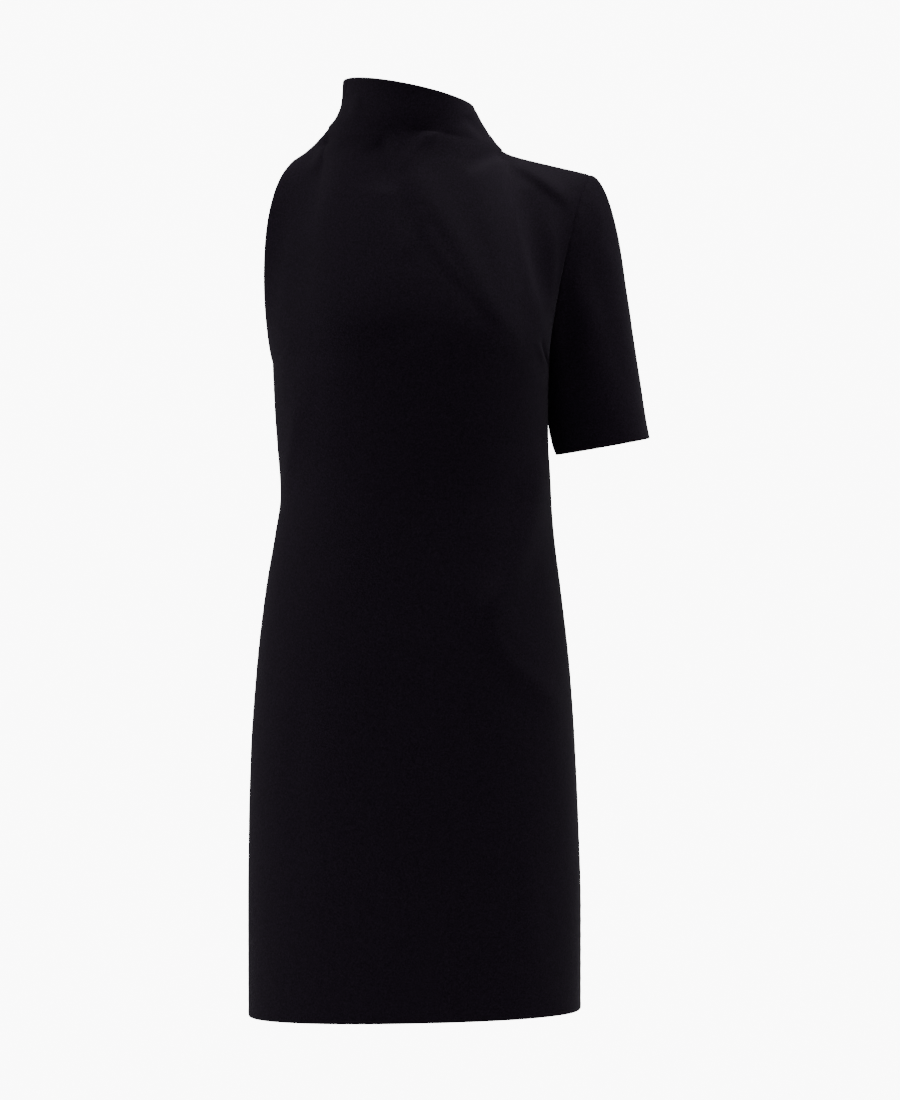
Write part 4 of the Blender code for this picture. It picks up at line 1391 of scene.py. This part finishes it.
def stage_material(name, brightness, glow):
    """A pale matte surface that shows from its front alone, so a view from behind stays free."""
    material, tree, shader = base_material(name, 0.9)
    shader.inputs["Base Color"].default_value = (brightness, brightness, brightness, 1)
    shader.inputs["Emission Color"].default_value = WHITE
    shader.inputs["Emission Strength"].default_value = glow
    clear = add_node(tree, "ShaderNodeBsdfTransparent").outputs["BSDF"]
    behind = add_node(tree, "ShaderNodeNewGeometry").outputs["Backfacing"]
    sides = {"Fac": behind, 1: shader.outputs["BSDF"], 2: clear}
    both = add_node(tree, "ShaderNodeMixShader", sides)
    link(tree, both.outputs["Shader"], tree.nodes["Material Output"].inputs["Surface"])
    return material


def strip_of(name, profile, material):
    """A wide strip of the stage, along a profile seen from the side."""
    mesh = bmesh.new()
    rows = [[mesh.verts.new((x, y, z)) for x in (-STRIP_HALF, STRIP_HALF)] for y, z in profile]
    for low, high in zip(rows, rows[1:]):
        mesh.faces.new((low[0], low[1], high[1], high[0])).smooth = True
    data = bpy.data.meshes.new(name)
    mesh.to_mesh(data)
    mesh.free()
    data.materials.append(material)
    strip = bpy.data.objects.new(name, data)
    bpy.context.scene.collection.objects.link(strip)
    return strip


def studio_world(settings):
    """Soft light from all round, with the bright white of the studio behind the dress."""
    world = bpy.data.worlds.new("studio")
    world.use_nodes = True
    tree = world.node_tree
    soft = tree.nodes["Background"]
    soft.inputs["Color"].default_value = WHITE
    soft.inputs["Strength"].default_value = settings.soft_light
    bright = add_node(tree, "ShaderNodeBackground", {"Color": WHITE, "Strength": settings.backdrop_glow})
    seen = add_node(tree, "ShaderNodeLightPath").outputs["Is Camera Ray"]
    lights = {"Fac": seen, 1: soft.outputs["Background"], 2: bright.outputs["Background"]}
    both = add_node(tree, "ShaderNodeMixShader", lights)
    link(tree, both.outputs["Shader"], tree.nodes["World Output"].inputs["Surface"])
    return world


def area_light(light):
    data = bpy.data.lights.new(light.name, "AREA")
    data.shape = "RECTANGLE"
    data.size, data.size_y = light.size
    data.energy = light.power
    lamp = bpy.data.objects.new(light.name, data)
    lamp.location = light.place
    lamp.rotation_euler = (Vector(light.target) - Vector(light.place)).to_track_quat("-Z", "Y").to_euler()
    bpy.context.scene.collection.objects.link(lamp)


class DRESS_OT_stage(bpy.types.Operator):
    """Makes the camera, the pale floor with its backdrop, and the soft studio lights."""

    bl_idname = "dress.stage"
    bl_label = "Stage"

    def execute(self, context):
        settings = context.scene.stage_settings
        data = bpy.data.cameras.new("camera")
        data.sensor_width = SENSOR
        data.lens = settings.pixels_per_metre * settings.camera_distance / settings.image_height * SENSOR
        camera = bpy.data.objects.new("camera", data)
        camera.location = (settings.camera_x, -settings.camera_distance, settings.camera_z)
        camera.rotation_euler = (math.pi / 2, 0, 0)
        context.scene.collection.objects.link(camera)
        context.scene.camera = camera

        floor_z = HEM_Z - settings.floor_drop
        floor_line = [(FLOOR_NEAR, floor_z), (FLOOR_FAR, floor_z)]
        floor = strip_of("floor", floor_line, stage_material("pale_floor", 0.85, 0))
        curve = [
            (FLOOR_FAR + BACKDROP_BEND * math.sin(a), floor_z + BACKDROP_BEND * (1 - math.cos(a)))
            for a in np.linspace(0, math.pi / 2, 13)
        ]
        curve.append((FLOOR_FAR + BACKDROP_BEND, floor_z + BACKDROP_TALL))
        backdrop = strip_of("backdrop", curve, stage_material("lit_backdrop", 0.9, settings.backdrop_glow))
        backdrop.visible_diffuse = False
        backdrop.visible_glossy = False
        context.scene.world = studio_world(settings)
        for light in LIGHTS:
            area_light(light)
        return {"FINISHED"}


class DRESS_PT_panel(bpy.types.Panel):
    """Lists the dress's sizes and its pieces."""

    bl_idname = "DRESS_PT_panel"
    bl_label = "One Sleeve Dress"
    bl_space_type = "VIEW_3D"
    bl_region_type = "UI"
    bl_category = "Dress"

    def draw(self, context):
        for group in ("dress_settings", "zip_settings", "stage_settings"):
            settings = getattr(context.scene, group)
            for name in settings.__annotations__:
                self.layout.prop(settings, name)
        for operator in OPERATORS:
            self.layout.operator(operator.bl_idname)


OPERATORS = (
    DRESS_OT_stage,
    DRESS_OT_front,
    DRESS_OT_backs,
    DRESS_OT_sleeve,
    DRESS_OT_hem_stitches,
    DRESS_OT_zip_tape,
    DRESS_OT_zip_hardware,
)
CLASSES = (DressSettings, ZipSettings, StageSettings, *OPERATORS, DRESS_PT_panel)


def register():
    for item in CLASSES:
        bpy.utils.register_class(item)
    bpy.types.Scene.dress_settings = PointerProperty(type=DressSettings)
    bpy.types.Scene.zip_settings = PointerProperty(type=ZipSettings)
    bpy.types.Scene.stage_settings = PointerProperty(type=StageSettings)


def unregister():
    del bpy.types.Scene.stage_settings
    del bpy.types.Scene.zip_settings
    del bpy.types.Scene.dress_settings
    for item in reversed(CLASSES):
        bpy.utils.unregister_class(item)


def main():
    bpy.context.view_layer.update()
    register()
    bpy.ops.dress.stage()
    bpy.ops.dress.front()
    bpy.ops.dress.backs()
    bpy.ops.dress.sleeve()
    bpy.ops.dress.hem_stitches()
    bpy.ops.dress.zip_tape()
    bpy.ops.dress.zip_hardware()


if __name__ == "__main__":
    main()
